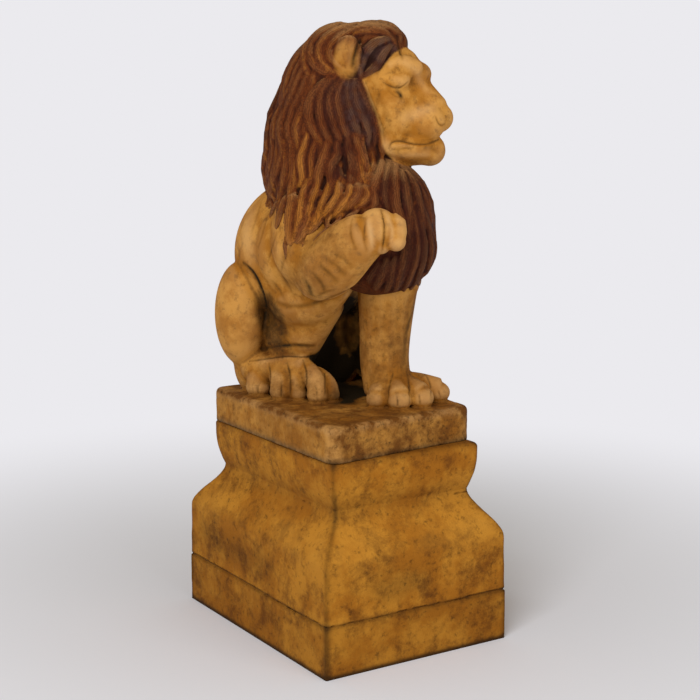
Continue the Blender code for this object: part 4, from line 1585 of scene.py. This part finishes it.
@dataclass(frozen=True)
class LionFinish:
    """Colours of the lion's stone, as sRGB bytes, and how they lie over each other."""

    tan: Grid = (190, 135, 60)
    ochre: Grid = (158, 101, 29)
    # pale: colour of the painted highlights
    pale: Grid = (212, 168, 112)
    # brown: specks, and patina with painted shade in the hollows
    brown: Grid = (92, 56, 16)
    rust: Grid = (104, 62, 18)
    # soot: stains, pits and grime, and painted shadow and shade
    soot_and_shade: Grid = (34, 24, 8)
    maroon: Grid = (58, 20, 7)
    russet: Grid = (98, 46, 13)
    gold: Grid = (156, 96, 30)
    slate: Grid = (72, 50, 46)
    # deep: painted shade in the mane's furrows and fine lines
    deep: Grid = (34, 12, 5)
    # dust: dust and painted highlight on the mane
    dust_and_highlight: Grid = (172, 126, 78)
    roughness: float = 0.78
    relief_depth: float = 0.0009

    patches: Speckle = Speckle(13.0, 6.0, 0.62, 0.40, 0.60)
    specks: Speckle = Speckle(52.0, 6.0, 0.68, 0.50, 0.70, 0.0, 0.60)
    clouds: Speckle = Speckle(17.0, 8.0, 0.7, 0.34, 0.66, 0.35, 1.3)
    pits: Speckle = Speckle(120.0, 6.0, 0.7, 0.50, 0.72, 0.0, 0.8)
    streaks: Speckle = Speckle(150.0, 3.0, 0.6, 0.35, 0.65, -0.07, 0.07, (1.0, 1.0, 0.14))
    bloom: Speckle = Speckle(45.0, 4.0, 0.55, 0.38, 0.62, 0.25, 1.1)
    waver: Speckle = Speckle(60.0, 3.0, 0.55, 0.3, 0.7, 0.0, 5.0)
    ragged: Speckle = Speckle(60.0, 4.0, 0.55, 0.3, 0.6, 0.75, 1.25)

    # painted highlight on the broad rises
    light: Wash = Wash(Mask.WIDE, 0.0, -0.0035, 0.45)
    # patina and painted shade in the broad hollows
    dirt_and_shade: Wash = Wash(Mask.WIDE, 0.0003, 0.0060, 0.75)
    # patina and painted shade in the fine creases
    creases: Wash = Wash(Mask.FINE, 0.00008, 0.0007, 0.7)
    # dust and painted highlight on the strands' ridges and the mane's broad rises
    ridge: Wash = Wash(Mask.FINE, 0.0001, -0.0010, 0.26)
    crest: Wash = Wash(Mask.WIDE, 0.0003, -0.0025, 0.16)
    # painted shade in the mane's fine furrows and the broad valleys between locks
    furrow: Wash = Wash(Mask.FINE, -0.0001, 0.0009, 0.85)
    valley: Wash = Wash(Mask.WIDE, 0.0002, 0.0030, 0.85)

    # painted highlight, in dust colour, on the mane's upward faces
    top_highlight_from: float = 0.5
    top_highlight: float = 0.8
    comb_rate: float = 17.0
    # painted shade in the grooves of the fine lines
    comb_shade: float = 0.42
    comb_height: float = 0.5

    def build(self) -> bpy.types.Material:
        """Makes the material."""
        sheet = NodeSheet("lion_stone_look")
        comb = self.combed(sheet)
        colour = sheet.mix(sheet.mask(Mask.MANE), self.skin(sheet), self.hair(sheet, comb))
        # stains, and painted shadow and shade, ragged, in soot colour
        stain_and_shade = sheet.math("MULTIPLY", sheet.mask(Mask.STAIN_AND_SHADE), sheet.speckle(self.ragged))
        colour = sheet.mix(stain_and_shade, colour, paint(*self.soot_and_shade))
        pores = sheet.noise(240.0, 5.0, 0.6)
        height = sheet.math("SUBTRACT", pores, sheet.math("MULTIPLY", comb, self.comb_height))
        sheet.bump(height, self.relief_depth)
        return sheet.finish(colour, self.roughness)

    def skin(self, sheet: NodeSheet) -> bpy.types.NodeSocket:
        """Lays out the colour of the face and body: tan stone with specks, brown patina and painted shade in
        its hollows, painted highlights on its rises, and grime with painted shade.

        Args:
            sheet: takes the nodes.

        Returns:
            The colour.
        """
        stone = sheet.mix(sheet.speckle(self.patches), paint(*self.tan), paint(*self.ochre))
        grime_and_shade = sheet.mask(Mask.GRIME_AND_SHADE)
        for share, tint in (
            (sheet.speckle(self.specks), self.brown),
            (sheet.wash(self.light), self.pale),
            (sheet.mask(Mask.PALE), self.pale),
            (sheet.wash(self.dirt_and_shade), self.brown),
            (sheet.wash(self.creases), self.brown),
            (sheet.math("MULTIPLY", grime_and_shade, sheet.speckle(self.clouds)), self.rust),
            (sheet.math("MULTIPLY", grime_and_shade, sheet.speckle(self.pits)), self.soot_and_shade),
        ):
            stone = sheet.mix(share, stone, paint(*tint))
        return stone

    def combed(self, sheet: NodeSheet) -> bpy.types.NodeSocket:
        """Lays out fine lines that run along the mane's locks.

        Args:
            sheet: takes the nodes.

        Returns:
            The share of the lines, 0 to 1.
        """
        phase = sheet.math(
            "MULTIPLY_ADD", sheet.mask(Mask.GRAIN), self.comb_rate, sheet.speckle(self.waver), clamp=False
        )
        lines = sheet.ramp(sheet.math("SINE", phase), 0.0, 0.8)
        return sheet.math("MULTIPLY", lines, sheet.mask(Mask.MANE))

    def hair(self, sheet: NodeSheet, comb: bpy.types.NodeSocket) -> bpy.types.NodeSocket:
        """Lays out the colour of the mane.

        Args:
            sheet: takes the nodes.
            comb: fine lines along the locks.

        Returns:
            Maroon to gold by tone, grey-violet in places, with dust and painted highlight on the ridges and
            upward faces, and painted shade between the locks and in the fine lines.
        """
        tone = sheet.math("ADD", sheet.mask(Mask.TONE), sheet.speckle(self.streaks))
        hair = sheet.mix(sheet.ramp(tone, 0.0, 0.5), paint(*self.maroon), paint(*self.russet))
        # strength of the painted highlight on the ridges, weaker on dark locks
        ridge_highlight_share = sheet.ramp(tone, 0.05, 0.6, 0.35, 1.0)
        for share, tint in (
            (sheet.ramp(tone, 0.45, 1.0), self.gold),
            (sheet.math("MULTIPLY", sheet.mask(Mask.SLATE), sheet.speckle(self.bloom)), self.slate),
            (sheet.math("MULTIPLY", sheet.wash(self.ridge), ridge_highlight_share), self.dust_and_highlight),
            (sheet.ramp(sheet.upward(), self.top_highlight_from, 1.0, 0.0, self.top_highlight), self.dust_and_highlight),
            (sheet.wash(self.crest), self.dust_and_highlight),
            (sheet.wash(self.furrow), self.deep),
            (sheet.wash(self.valley), self.deep),
            (sheet.math("MULTIPLY", comb, self.comb_shade), self.deep),
        ):
            hair = sheet.mix(share, hair, paint(*tint))
        return hair


@dataclass(frozen=True)
class PedestalFinish:
    """Colours of the pedestal's stone, as sRGB bytes, and how they lie over each other."""

    ochre: Grid = (154, 96, 22)
    honey: Grid = (180, 122, 38)
    # light: colour of the painted highlight on the belly
    light: Grid = (200, 144, 56)
    brown: Grid = (92, 50, 10)
    # soot: specks, stains, pits and the darker bottom edge
    soot_and_shade: Grid = (44, 26, 6)
    roughness: float = 0.82
    relief_depth: float = 0.0009

    patches: Speckle = Speckle(8.0, 7.0, 0.66, 0.40, 0.60)
    mottle: Speckle = Speckle(15.0, 9.0, 0.76, 0.44, 0.68, 0.0, 0.8)
    specks: Speckle = Speckle(75.0, 6.0, 0.7, 0.52, 0.72, 0.0, 0.6)
    # stains, pits and the darker bottom edge, in soot colour
    dirt_and_shade: Wash = Wash(Mask.STAIN_AND_SHADE, 0.0, 1.0, 0.9)

    def build(self) -> bpy.types.Material:
        """Makes the material."""
        sheet = NodeSheet("pedestal_stone_look")
        stone = sheet.mix(sheet.speckle(self.patches), paint(*self.honey), paint(*self.ochre))
        for share, tint in (
            (sheet.speckle(self.mottle), self.brown),
            (sheet.mask(Mask.PALE), self.light),
            (sheet.speckle(self.specks), self.soot_and_shade),
            (sheet.wash(self.dirt_and_shade), self.soot_and_shade),
        ):
            stone = sheet.mix(share, stone, paint(*tint))
        sheet.bump(sheet.noise(210.0, 5.0, 0.6), self.relief_depth)
        return sheet.finish(stone, self.roughness)


# Pieces


@dataclass
class Mane:
    """The lion's head and mane as one fine piece."""

    viewpoint: Viewpoint
    form: LionForm
    seed: int = 7
    filler: Grid = (0.013, 0.013, 0.016)
    mirror_reach: float = 0.05

    def build(self, material: bpy.types.Material) -> bpy.types.Object:
        """Makes the piece.

        Args:
            material: the stone.

        Returns:
            The piece.
        """
        base = modelled([self.form.mane], FORM_GRAIN, 26)
        skull = modelled([self.form.skull, self.form.brows], FACE_GRAIN, 14)
        whole = self.gathered(base, skull)
        self.form.trunk(whole)
        pinner = Pinner(fused(whole, SKIN_GRAIN, 3), self.viewpoint)
        layer = StrandLayer(pinner, np.random.default_rng(self.seed))
        self.lay_underlayer(layer)
        self.lay_locks(layer)

        fine = self.gathered(base, skull)
        for point, spot in zip(FILLED_HOLLOWS, pinner.pin(FILLED_HOLLOWS, steps=1)):
            fine.ball(Vector(spot) + self.viewpoint.ray(*point) * self.filler[0], self.filler)
        fine.add(*layer.clay.arrays())
        relief = fused(fine, MANE_GRAIN, 1)
        layer.paint(relief)
        face = relief.blurred(self.face_share(relief.verts), 2)
        relief.verts += (relief.blurred(relief.verts, 6) - relief.verts) * face[:, None]
        relief.masks[Mask.MANE] = 1 - self.face_share(relief.verts)
        carve(relief, FACE_STROKES, Pinner(relief, self.viewpoint))
        finish_masks(relief)
        piece = relief.object("lion_head_and_mane")
        piece.data.materials.append(material)
        thin(piece)
        LOG.info("head and mane: %d faces", len(piece.data.polygons))
        return piece

    def gathered(self, base: Relief, skull: Relief) -> Clay:
        """Gathers the mane's body, the skull and the ears.

        Args:
            base: the mane's body.
            skull: the skull.

        Returns:
            The clay.
        """
        clay = Clay()
        clay.take(base)
        clay.take(skull)
        self.form.ears(clay)
        return clay

    def face_share(self, verts: np.ndarray) -> np.ndarray:
        """Tells the face and ears, 1, from the mane, 0, in the head's own grid.

        Args:
            verts: rows of coordinates in metres.

        Returns:
            The share for each of them.
        """
        x, y, z = moved(verts, self.form.head.inverted()).T
        border = np.interp(z, *FACE_BORDER)
        share = np.clip((x - np.abs(y) * 0.11 - border) / 0.5 + 0.5, 0, 1)
        ear = ((x + 0.1) / 2.9) ** 2 + ((z - 72.8) / 4.3) ** 2
        on_ear = 0.65 * np.clip((1.0 - ear) * 2, 0, 1) * (np.abs(y) > 9.6)
        return np.maximum(share, on_ear)

    def lay_underlayer(self, layer: StrandLayer) -> None:
        """Lays plain hanging locks all round the neck and crown, under the drawn ones.

        Args:
            layer: takes the locks.
        """
        ahead, _, _ = self.viewpoint.axes()
        away = Vector((ahead.x, ahead.y, 0)).normalized()
        for tier, (height, count, span) in enumerate(UNDER_TIERS):
            lowest = tier == len(UNDER_TIERS) - 1
            short = tier == len(UNDER_TIERS) - 2
            for k in range(count):
                angle = math.tau * (k + 0.5 * (tier % 2)) / count
                reach = Vector((math.sin(angle), math.cos(angle), 0))
                if lowest and reach.y > -0.2:
                    continue
                length = span * (0.65 if short and reach.y > -0.1 else 1.0)
                start = height + 2.4 * layer.random.uniform(-1, 1)
                bend = 1.5 * layer.random.uniform(-1, 1)
                course = []
                for share in np.linspace(0, 1, 6):
                    turn = Vector((reach.y, -reach.x, 0)) * bend * math.sin(share * 5)
                    spot = reach * 17 + turn + Vector((-0.4, -1.5, start - length * share))
                    course.append(layer.pinner.snapped(np.array(self.form.grid @ spot))[0])
                course = np.array(course)
                course = course[self.face_share(course) < 0.5]
                if len(course) < 4:
                    continue
                size = BACK_LOCK if reach.dot(away) > 0.05 else SHOWN_LOCK
                tone = 0.45 + 0.25 * layer.random.uniform(-1, 1)
                layer.lay(course, size.width, size.strands, tone, 0.0, size.lift, size.thick)

    def lay_locks(self, layer: StrandLayer) -> None:
        """Lays the drawn locks, and their mirror images on the far side.

        Args:
            layer: takes the locks.
        """
        for lock in NEAR_LOCKS:
            course = layer.pinner.pin(lock.course)
            width = lock.width * PICTURE_POINT
            lift = lock.lift * UNIT
            layer.lay(course, width, lock.strands, lock.tone, lock.slate, lift)
            far, moved_by = layer.pinner.mirrored(course)
            if moved_by < self.mirror_reach:
                layer.lay(far, width, lock.strands, lock.tone, lock.slate / 2, lift)


@dataclass(frozen=True)
class Zone:
    """A round or egg-shaped area with a soft edge.

    Attributes:
        centre: its middle.
        radii: its radii.
        edge: how far out it ends, in radii.
        gain: how steeply it fades there.
        turn: degrees that its axes are turned by, for an area of the picture.
        lean: how far its middle shifts across for each point down, for the same.
    """

    centre: Grid
    radii: Grid
    edge: float
    gain: float
    turn: float = 0.0
    lean: float = 0.0

    def share(self, spots: np.ndarray) -> np.ndarray:
        """Works out the share, 1 well inside the zone and 0 outside it.

        Args:
            spots: rows of coordinates.

        Returns:
            The share for each of them.
        """
        away = spots - np.array(self.centre)
        way = math.radians(self.turn)
        if self.turn:
            away = away @ np.array([[math.cos(way), -math.sin(way)], [math.sin(way), math.cos(way)]])
        if self.lean:
            away[:, 0] -= away[:, 1] * self.lean
        return np.clip((self.edge - np.linalg.norm(away / np.array(self.radii), axis=1)) * self.gain, 0, 1)


# Zones of the lion's grid: painted shadow under the belly, painted shade in the nook by the haunch and on
# the knee
UNDER_BELLY = Zone((1.0, 5.0, 8.0), (9.5, 13.5, 13.5), 1.25, 3.0)
HAUNCH_NOOK = Zone((-9.5, 10.5, 14.0), (4.5, 5.5, 8.5), 1.2, 3.0)
KNEE = Zone((-12.5, 12.0, 13.0), (4.0, 5.0, 8.0), 1.2, 2.0)

# Zones of the same grid seen from above: feet kept out of the painted shadow, and grime round the standing
# leg
LEG_FOOTPRINT = Zone((5.6, -8.8), (1.0, 1.0), 7.5, 1 / 1.5)
TOE_FOOTPRINT = Zone((-4.8, -0.6), (1.0, 1.0), 4.6, 1 / 1.2)
AROUND_LEG = Zone((5.5, -9.0), (1.0, 1.0), 10.0, 1 / 3)

# Zones of the picture: the far thigh, lighter in the painted shadow; painted shade on the upper arm and
# beside the haunch
LIT_THIGH = Zone((348, 334), (14, 21), 1.35, 2.0)
UPPER_ARM = Zone((318, 258), (36, 22), 1.5, 1.5, turn=-38)
BESIDE_HAUNCH = Zone((271, 322), (11, 26), 1.4, 2.0, lean=0.28)


@dataclass
class Body:
    """The lion's trunk, limbs and tail, and the slab, as one fine piece."""

    viewpoint: Viewpoint
    form: LionForm

    def build(self, material: bpy.types.Material) -> bpy.types.Object:
        """Makes the piece.

        Args:
            material: the stone.

        Returns:
            The piece.
        """
        form = self.form
        fine = Clay()
        for group, smoothing in (
            (form.trunk, 24), (form.near_haunch, 16), (form.far_haunch, 12), (form.limbs, 6),
        ):
            fine.take(modelled([group], FORM_GRAIN, smoothing))
        form.raised_paw(fine)
        form.ground_paws(fine)
        slab_clay(fine)
        relief = fused(fine, BODY_GRAIN, 4)
        carve(relief, LIMB_STROKES, Pinner(relief, self.viewpoint))
        self.roughen_slab(relief)
        self.weather(relief)
        finish_masks(relief)
        self.level_bottom(relief)
        piece = relief.object("lion_body_and_slab")
        piece.data.materials.append(material)
        thin(piece)
        LOG.info("body and slab: %d faces", len(piece.data.polygons))
        return piece

    def roughen_slab(self, relief: Relief) -> None:
        """Gives the slab its lumps and worn edges.

        Args:
            relief: the surface, changed in place.
        """
        below = np.clip((SLAB_TOP + 0.004 - relief.verts[:, 2]) / 0.006, 0, 1)
        lumps = noise(relief.verts, 0.05, 3, 4) * 0.0016 + noise(relief.verts, 0.012, 5, 3) * 0.0007
        relief.verts = relief.verts + relief.normals() * (lumps * below)[:, None]

    def weather(self, relief: Relief) -> None:
        """Paints shadow into the hollow under the belly and onto the slab's top, and shade beside the
        haunch, on the knee and on the upper arm; darkens the slab, the standing leg and the feet with grime.

        Args:
            relief: the surface, changed in place.
        """
        spots = moved(relief.verts, self.form.grid.inverted())
        picture = np.column_stack(self.viewpoint.project(relief.verts))
        ground = spots[:, :2]
        x, y, z = spots.T
        normals = relief.normals()
        facing = normals @ -np.array(self.viewpoint.axes()[0])
        above = z > 0.3

        # painted shadow in the hollow under the belly and on the slab inside it, kept off the feet and
        # lighter on the far thigh
        inner = 1.15 * UNDER_BELLY.share(spots) * np.clip((z + 0.6) * 2, 0, 1)
        inner *= (1 - LEG_FOOTPRINT.share(ground)) * (1 - TOE_FOOTPRINT.share(ground))
        inner *= np.where((x > -6.5) | (facing < 0.2), 1.0, np.clip((0.45 - facing) * 4, 0, 1))
        inner = np.clip(inner * 1.5, 0, 1.6) * (1 - LIT_THIGH.share(picture) * 0.66)
        # painted shade in the hollow beside the near haunch
        beside = BESIDE_HAUNCH.share(picture) * (z > 5) * (facing > 0) * (x < -3)
        relief.masks[Mask.STAIN_AND_SHADE] = np.max([
            relief.masks[Mask.STAIN_AND_SHADE],
            relief.blurred(inner, 4),
            relief.blurred(beside, 6) * 0.6,
            bell(relief.verts[:, 2], SLAB_BOTTOM, 0.009) * 0.55,
        ], axis=0)

        side = np.clip((0.3 - z) / 0.6, 0, 1)
        # grime on the slab's sides, the feet and round the standing leg; grime with painted shadow on the
        # slab's top; painted shade beside the haunch, on the knee, in the nook by the haunch and on the
        # upper arm
        grime_and_shade = sum(strength * share for strength, share in (
            (0.40, np.clip((27 - z) / 8, 0, 1) * AROUND_LEG.share(ground) * above),
            (0.42, np.clip((10 - z) / 8, 0, 1) * above * (x < -4)),
            (0.62, np.clip((z + 1.3) * 2, 0, 1) * ~above),
            (0.36, side),
            (0.50, side * np.clip((normals @ np.array([-0.2, -1.0, 0.0]) - 0.3) * 3, 0, 1)),
            (0.22, np.clip((26 - z) / 12, 0, 1) * above * np.clip((14 - y) / 6, 0, 1)),
            (0.70, beside),
            (0.20, KNEE.share(spots)),
            (0.80, HAUNCH_NOOK.share(spots)),
            (0.50, UPPER_ARM.share(picture) * (facing > 0) * (z > 20) * (y < 4)),
        ))
        relief.masks[Mask.GRIME_AND_SHADE] = relief.blurred(np.clip(grime_and_shade, 0, 1), 4)

    def level_bottom(self, relief: Relief) -> None:
        """Sets the underside flat on the pedestal's top."""
        relief.verts[:, 2] = np.maximum(relief.verts[:, 2], SLAB_BOTTOM)


@dataclass
class Pedestal:
    """The flared pedestal as rings of fine faces.

    Attributes:
        across: points along each side.
        levels: rings from the base to the top.
        heights: heights at which the upright corners' rounding is given.
        rounds: the rounding there.
    """

    across: int = 108
    levels: int = 112
    heights: Grid = (0, 0.1, 0.12, 0.24, 0.33, 0.436)
    rounds: Grid = (0.0035, 0.0035, 0.005, 0.007, 0.012, 0.010)

    def profile(self) -> tuple[np.ndarray, np.ndarray]:
        """Returns the insets and heights of the side, from the base up to the lip."""
        points = [
            (0.0, 0.0),
            (0.0, BAND_HEIGHT - GROOVE_HALF_HEIGHT),
            (GROOVE_DEPTH, BAND_HEIGHT),
            (BELLY_INSET * 0.5, BAND_HEIGHT + GROOVE_HALF_HEIGHT),
            (BELLY_INSET, PEDESTAL_HEIGHT - BELLY_DROP),
        ]
        for t in np.linspace(0, 1, 17)[1:]:
            ease = t * t * (3 - 2 * t)
            drop = BELLY_DROP + (NECK_DROP - BELLY_DROP) * t
            points.append((BELLY_INSET + (NECK_INSET - BELLY_INSET) * ease, PEDESTAL_HEIGHT - drop))
        for t in np.linspace(0, 1, 11)[1:]:
            ease = 1 - (1 - t) ** 2
            drop = NECK_DROP + (LIP_DROP - NECK_DROP) * t
            points.append((NECK_INSET + (LIP_INSET - NECK_INSET) * ease, PEDESTAL_HEIGHT - drop))
        for angle in np.linspace(0, math.pi / 2, 7):
            points.append((
                LIP_INSET + LIP_ROUND * (1 - math.cos(angle)),
                PEDESTAL_HEIGHT - LIP_ROUND + LIP_ROUND * math.sin(angle),
            ))
        points = np.array(points)
        return points[:, 0], points[:, 1]

    def outline(self, inset: float, corner: float) -> np.ndarray:
        """Lays out a rectangle with rounded corners.

        Args:
            inset: how far its sides lie inside the base's.
            corner: radius of its corners.

        Returns:
            Its (x, y) points.
        """
        half_x = PEDESTAL_WIDTH / 2 - inset - corner
        half_y = PEDESTAL_DEPTH / 2 - inset - corner
        ring = []
        for start, stop, angle in (
            ((1, -1), (1, 1), 0), ((1, 1), (-1, 1), 90), ((-1, 1), (-1, -1), 180), ((-1, -1), (1, -1), 270),
        ):
            way = math.radians(angle)
            out = np.array([math.cos(way), math.sin(way)]) * corner
            one = np.array([start[0] * half_x, start[1] * half_y]) + out
            two = np.array([stop[0] * half_x, stop[1] * half_y]) + out
            for share in np.linspace(0, 1, self.across):
                ring.append(one + (two - one) * share)
            centre = np.array([stop[0] * half_x, stop[1] * half_y])
            for bend in np.linspace(0, math.pi / 2, 10)[1:-1]:
                ring.append(centre + corner * np.array([math.cos(way + bend), math.sin(way + bend)]))
        return np.array(ring)

    def build(self, material: bpy.types.Material) -> bpy.types.Object:
        """Makes the piece.

        Args:
            material: the stone.

        Returns:
            The piece.
        """
        insets, heights = self.profile()
        run = np.concatenate([[0], np.cumsum(np.hypot(np.diff(insets), np.diff(heights)))])
        spots = np.unique(np.concatenate([np.linspace(0, run[-1], self.levels), run]))
        rings = []
        for spot in spots:
            inset = float(np.interp(spot, run, insets))
            height = float(np.interp(spot, run, heights))
            corner = float(np.interp(height, self.heights, self.rounds))
            ring = self.outline(inset, corner)
            rings.append(np.column_stack([ring, np.full(len(ring), height)]))
        sides = len(rings[0])
        faces = ring_quads(len(rings), sides)
        edges = np.vstack([faces[:, [0, 1]], faces[:, [0, 3]]])
        relief = Relief(np.vstack(rings), faces, edges)
        self.weather(relief)
        piece = relief.object("pedestal_casting")
        self.cap(piece, len(rings), sides)
        piece.data.materials.append(material)
        LOG.info("pedestal: %d faces", len(piece.data.polygons))
        return piece

    def weather(self, relief: Relief) -> None:
        """Adds lumps, small pits, a mask of stains that is also darker towards the bottom edge, and a
        painted highlight on the upper swell of the belly.

        Args:
            relief: the surface, changed in place.
        """
        normals = relief.normals()
        verts = relief.verts
        lumps = noise(verts, 0.09, 11, 3) * 0.0012 + noise(verts, 0.02, 12, 3) * 0.0006
        pits = np.clip(noise(verts, 0.010, 13, 2) - 0.42, 0, 1) * 0.0030
        height = verts[:, 2]
        hold = np.clip(height / 0.02, 0, 1) * np.clip((PEDESTAL_HEIGHT - height) / 0.004, 0, 1)
        relief.verts = verts + normals * ((lumps - pits) * hold)[:, None]
        wide = np.abs(verts[:, 0])
        deep = np.abs(verts[:, 1]) - (PEDESTAL_DEPTH - PEDESTAL_WIDTH) / 2
        from_corner = np.abs(wide - deep)
        # stains along the band, neck, lip and corners, mottling, dark pits, and darker towards the bottom
        # edge and below the band
        stains = (
            bell(height, BAND_HEIGHT, 0.006) * 0.5,
            bell(height, 0.0, 0.008) * 0.9,
            bell(height, PEDESTAL_HEIGHT - NECK_DROP, 0.035) * 0.3,
            bell(height, PEDESTAL_HEIGHT, 0.012) * 0.45,
            bell(height, 0.17, 0.05) * np.clip(0.4 + noise(verts, 0.11, 21, 3) * 2, 0, 1) * 0.4,
            bell(from_corner, 0.0, 0.010) * 0.45,
            np.clip((BAND_HEIGHT - height) / 0.01, 0, 1) * 0.22,
            pits * 120,
        )
        relief.masks[Mask.STAIN_AND_SHADE] = np.clip(sum(stains), 0, 1)
        # painted highlight on the upper swell of the belly, away from the corners
        shoulder = bell(height, 0.262, 0.035) * np.clip(0.5 + noise(verts, 0.12, 22, 3), 0, 1) * 0.45
        relief.masks[Mask.PALE] = shoulder * np.clip(from_corner / 0.03, 0, 1)

    def cap(self, piece: bpy.types.Object, rings: int, sides: int) -> None:
        """Closes the top and the underside.

        Args:
            piece: the open piece, changed in place.
            rings: number of its rings.
            sides: points in each ring.
        """
        shape = bmesh.new()
        shape.from_mesh(piece.data)
        shape.verts.ensure_lookup_table()
        top = shape.faces.new([shape.verts[(rings - 1) * sides + k] for k in range(sides)])
        bottom = shape.faces.new([shape.verts[k] for k in reversed(range(sides))])
        bmesh.ops.triangulate(shape, faces=[top, bottom])
        shape.to_mesh(piece.data)
        shape.free()


def finish_masks(relief: Relief) -> None:
    """Works out the hollows of a carved relief, small and large."""
    relief.masks[Mask.FINE] = relief.blurred(relief.hollow(4), 1)
    relief.masks[Mask.WIDE] = relief.blurred(relief.hollow(60), 3)


# Surroundings


@dataclass
class Studio:
    """The pale floor, the world and the lights.

    Attributes:
        backdrop: colour behind the object.
        glow: colour of the light from all round.
        fill: strength of that light.
        floor: colour of the floor.
        fade: distances over which the floor turns into the backdrop.
        floor_radius: radius of the floor.
        lamp_colour: colour of both lamps.
        aim: the place that they point at.
    """

    backdrop: Grid = (235, 234, 238)
    glow: Grid = (240, 230, 210)
    fill: float = 0.46
    floor: Grid = (229, 232, 244)
    fade: Grid = (0.35, 2.2)
    floor_radius: float = 60.0
    lamp_colour: Grid = (1.0, 0.985, 0.96)
    aim: Grid = (0, 0, 0.7)

    def build(self) -> None:
        """Makes everything round the object."""
        self.build_world()
        self.build_floor()
        self.area("key", (-3.2, -2.6, 3.4), 2.4, 150.0)
        self.area("front", (0.6, -4.2, 1.9), 2.6, 42.0)
        scene = bpy.context.scene
        scene.view_settings.view_transform = "Standard"
        scene.view_settings.look = "None"

    def build_world(self) -> None:
        """Makes the world: backdrop colour to the camera, a dimmer one as fill light."""
        world = bpy.data.worlds.new("studio")
        world.use_nodes = True
        tree = world.node_tree
        back = tree.nodes["Background"]
        back.inputs["Color"].default_value = paint(*self.glow)
        back.inputs["Strength"].default_value = self.fill
        seen = tree.nodes.new("ShaderNodeBackground")
        seen.inputs["Color"].default_value = paint(*self.backdrop)
        path = tree.nodes.new("ShaderNodeLightPath")
        mix = tree.nodes.new("ShaderNodeMixShader")
        tree.links.new(path.outputs["Is Camera Ray"], mix.inputs[0])
        tree.links.new(back.outputs[0], mix.inputs[1])
        tree.links.new(seen.outputs[0], mix.inputs[2])
        tree.links.new(mix.outputs[0], tree.nodes["World Output"].inputs["Surface"])
        bpy.context.scene.world = world

    def build_floor(self) -> None:
        """Makes a floor that fades into the backdrop away from the object."""
        material = bpy.data.materials.new("studio_floor")
        material.use_nodes = True
        tree = material.node_tree
        shader = tree.nodes["Principled BSDF"]
        shader.inputs["Base Color"].default_value = paint(*self.floor)
        shader.inputs["Roughness"].default_value = 0.9
        shader.inputs["Specular IOR Level"].default_value = 0.0
        glow = tree.nodes.new("ShaderNodeEmission")
        glow.inputs["Color"].default_value = paint(*self.backdrop)
        place = tree.nodes.new("ShaderNodeTexCoord")
        length = tree.nodes.new("ShaderNodeVectorMath")
        length.operation = "LENGTH"
        tree.links.new(place.outputs["Object"], length.inputs[0])
        fade = tree.nodes.new("ShaderNodeMapRange")
        fade.interpolation_type = "SMOOTHSTEP"
        fade.inputs["From Min"].default_value = self.fade[0]
        fade.inputs["From Max"].default_value = self.fade[1]
        tree.links.new(length.outputs["Value"], fade.inputs["Value"])
        mix = tree.nodes.new("ShaderNodeMixShader")
        tree.links.new(fade.outputs["Result"], mix.inputs[0])
        tree.links.new(shader.outputs[0], mix.inputs[1])
        tree.links.new(glow.outputs[0], mix.inputs[2])
        tree.links.new(mix.outputs[0], tree.nodes["Material Output"].inputs["Surface"])
        bpy.ops.mesh.primitive_circle_add(vertices=96, radius=self.floor_radius, fill_type="NGON")
        floor = bpy.context.object
        floor.name = "floor"
        floor.data.materials.append(material)

    def area(self, name: str, place: Grid, size: float, power: float) -> None:
        """Adds a square soft light.

        Args:
            name: its name.
            place: its place.
            size: its width in metres.
            power: its power in watts.
        """
        data = bpy.data.lights.new(name, "AREA")
        data.size = size
        data.energy = power
        data.color = self.lamp_colour
        lamp = bpy.data.objects.new(name, data)
        lamp.location = place
        lamp.rotation_euler = (Vector(self.aim) - Vector(place)).to_track_quat("-Z", "Y").to_euler()
        bpy.context.scene.collection.objects.link(lamp)


def place_piece(piece: bpy.types.Object, node: str) -> None:
    """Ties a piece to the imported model.

    Args:
        piece: the piece.
        node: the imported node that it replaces.
    """
    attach(piece, "root")
    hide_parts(node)


def main() -> None:
    """Builds the pieces, the studio and the camera."""
    logging.basicConfig(level=logging.INFO, format="%(message)s")
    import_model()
    viewpoint = Viewpoint()
    viewpoint.build()
    lion = LionFinish().build()
    stone = PedestalFinish().build()
    form = LionForm()
    place_piece(Mane(viewpoint, form).build(lion), "lion")
    place_piece(Body(viewpoint, form).build(lion), "lion")
    place_piece(Pedestal().build(stone), "pedestal")
    Studio().build()


if __name__ == "__main__":
    main()
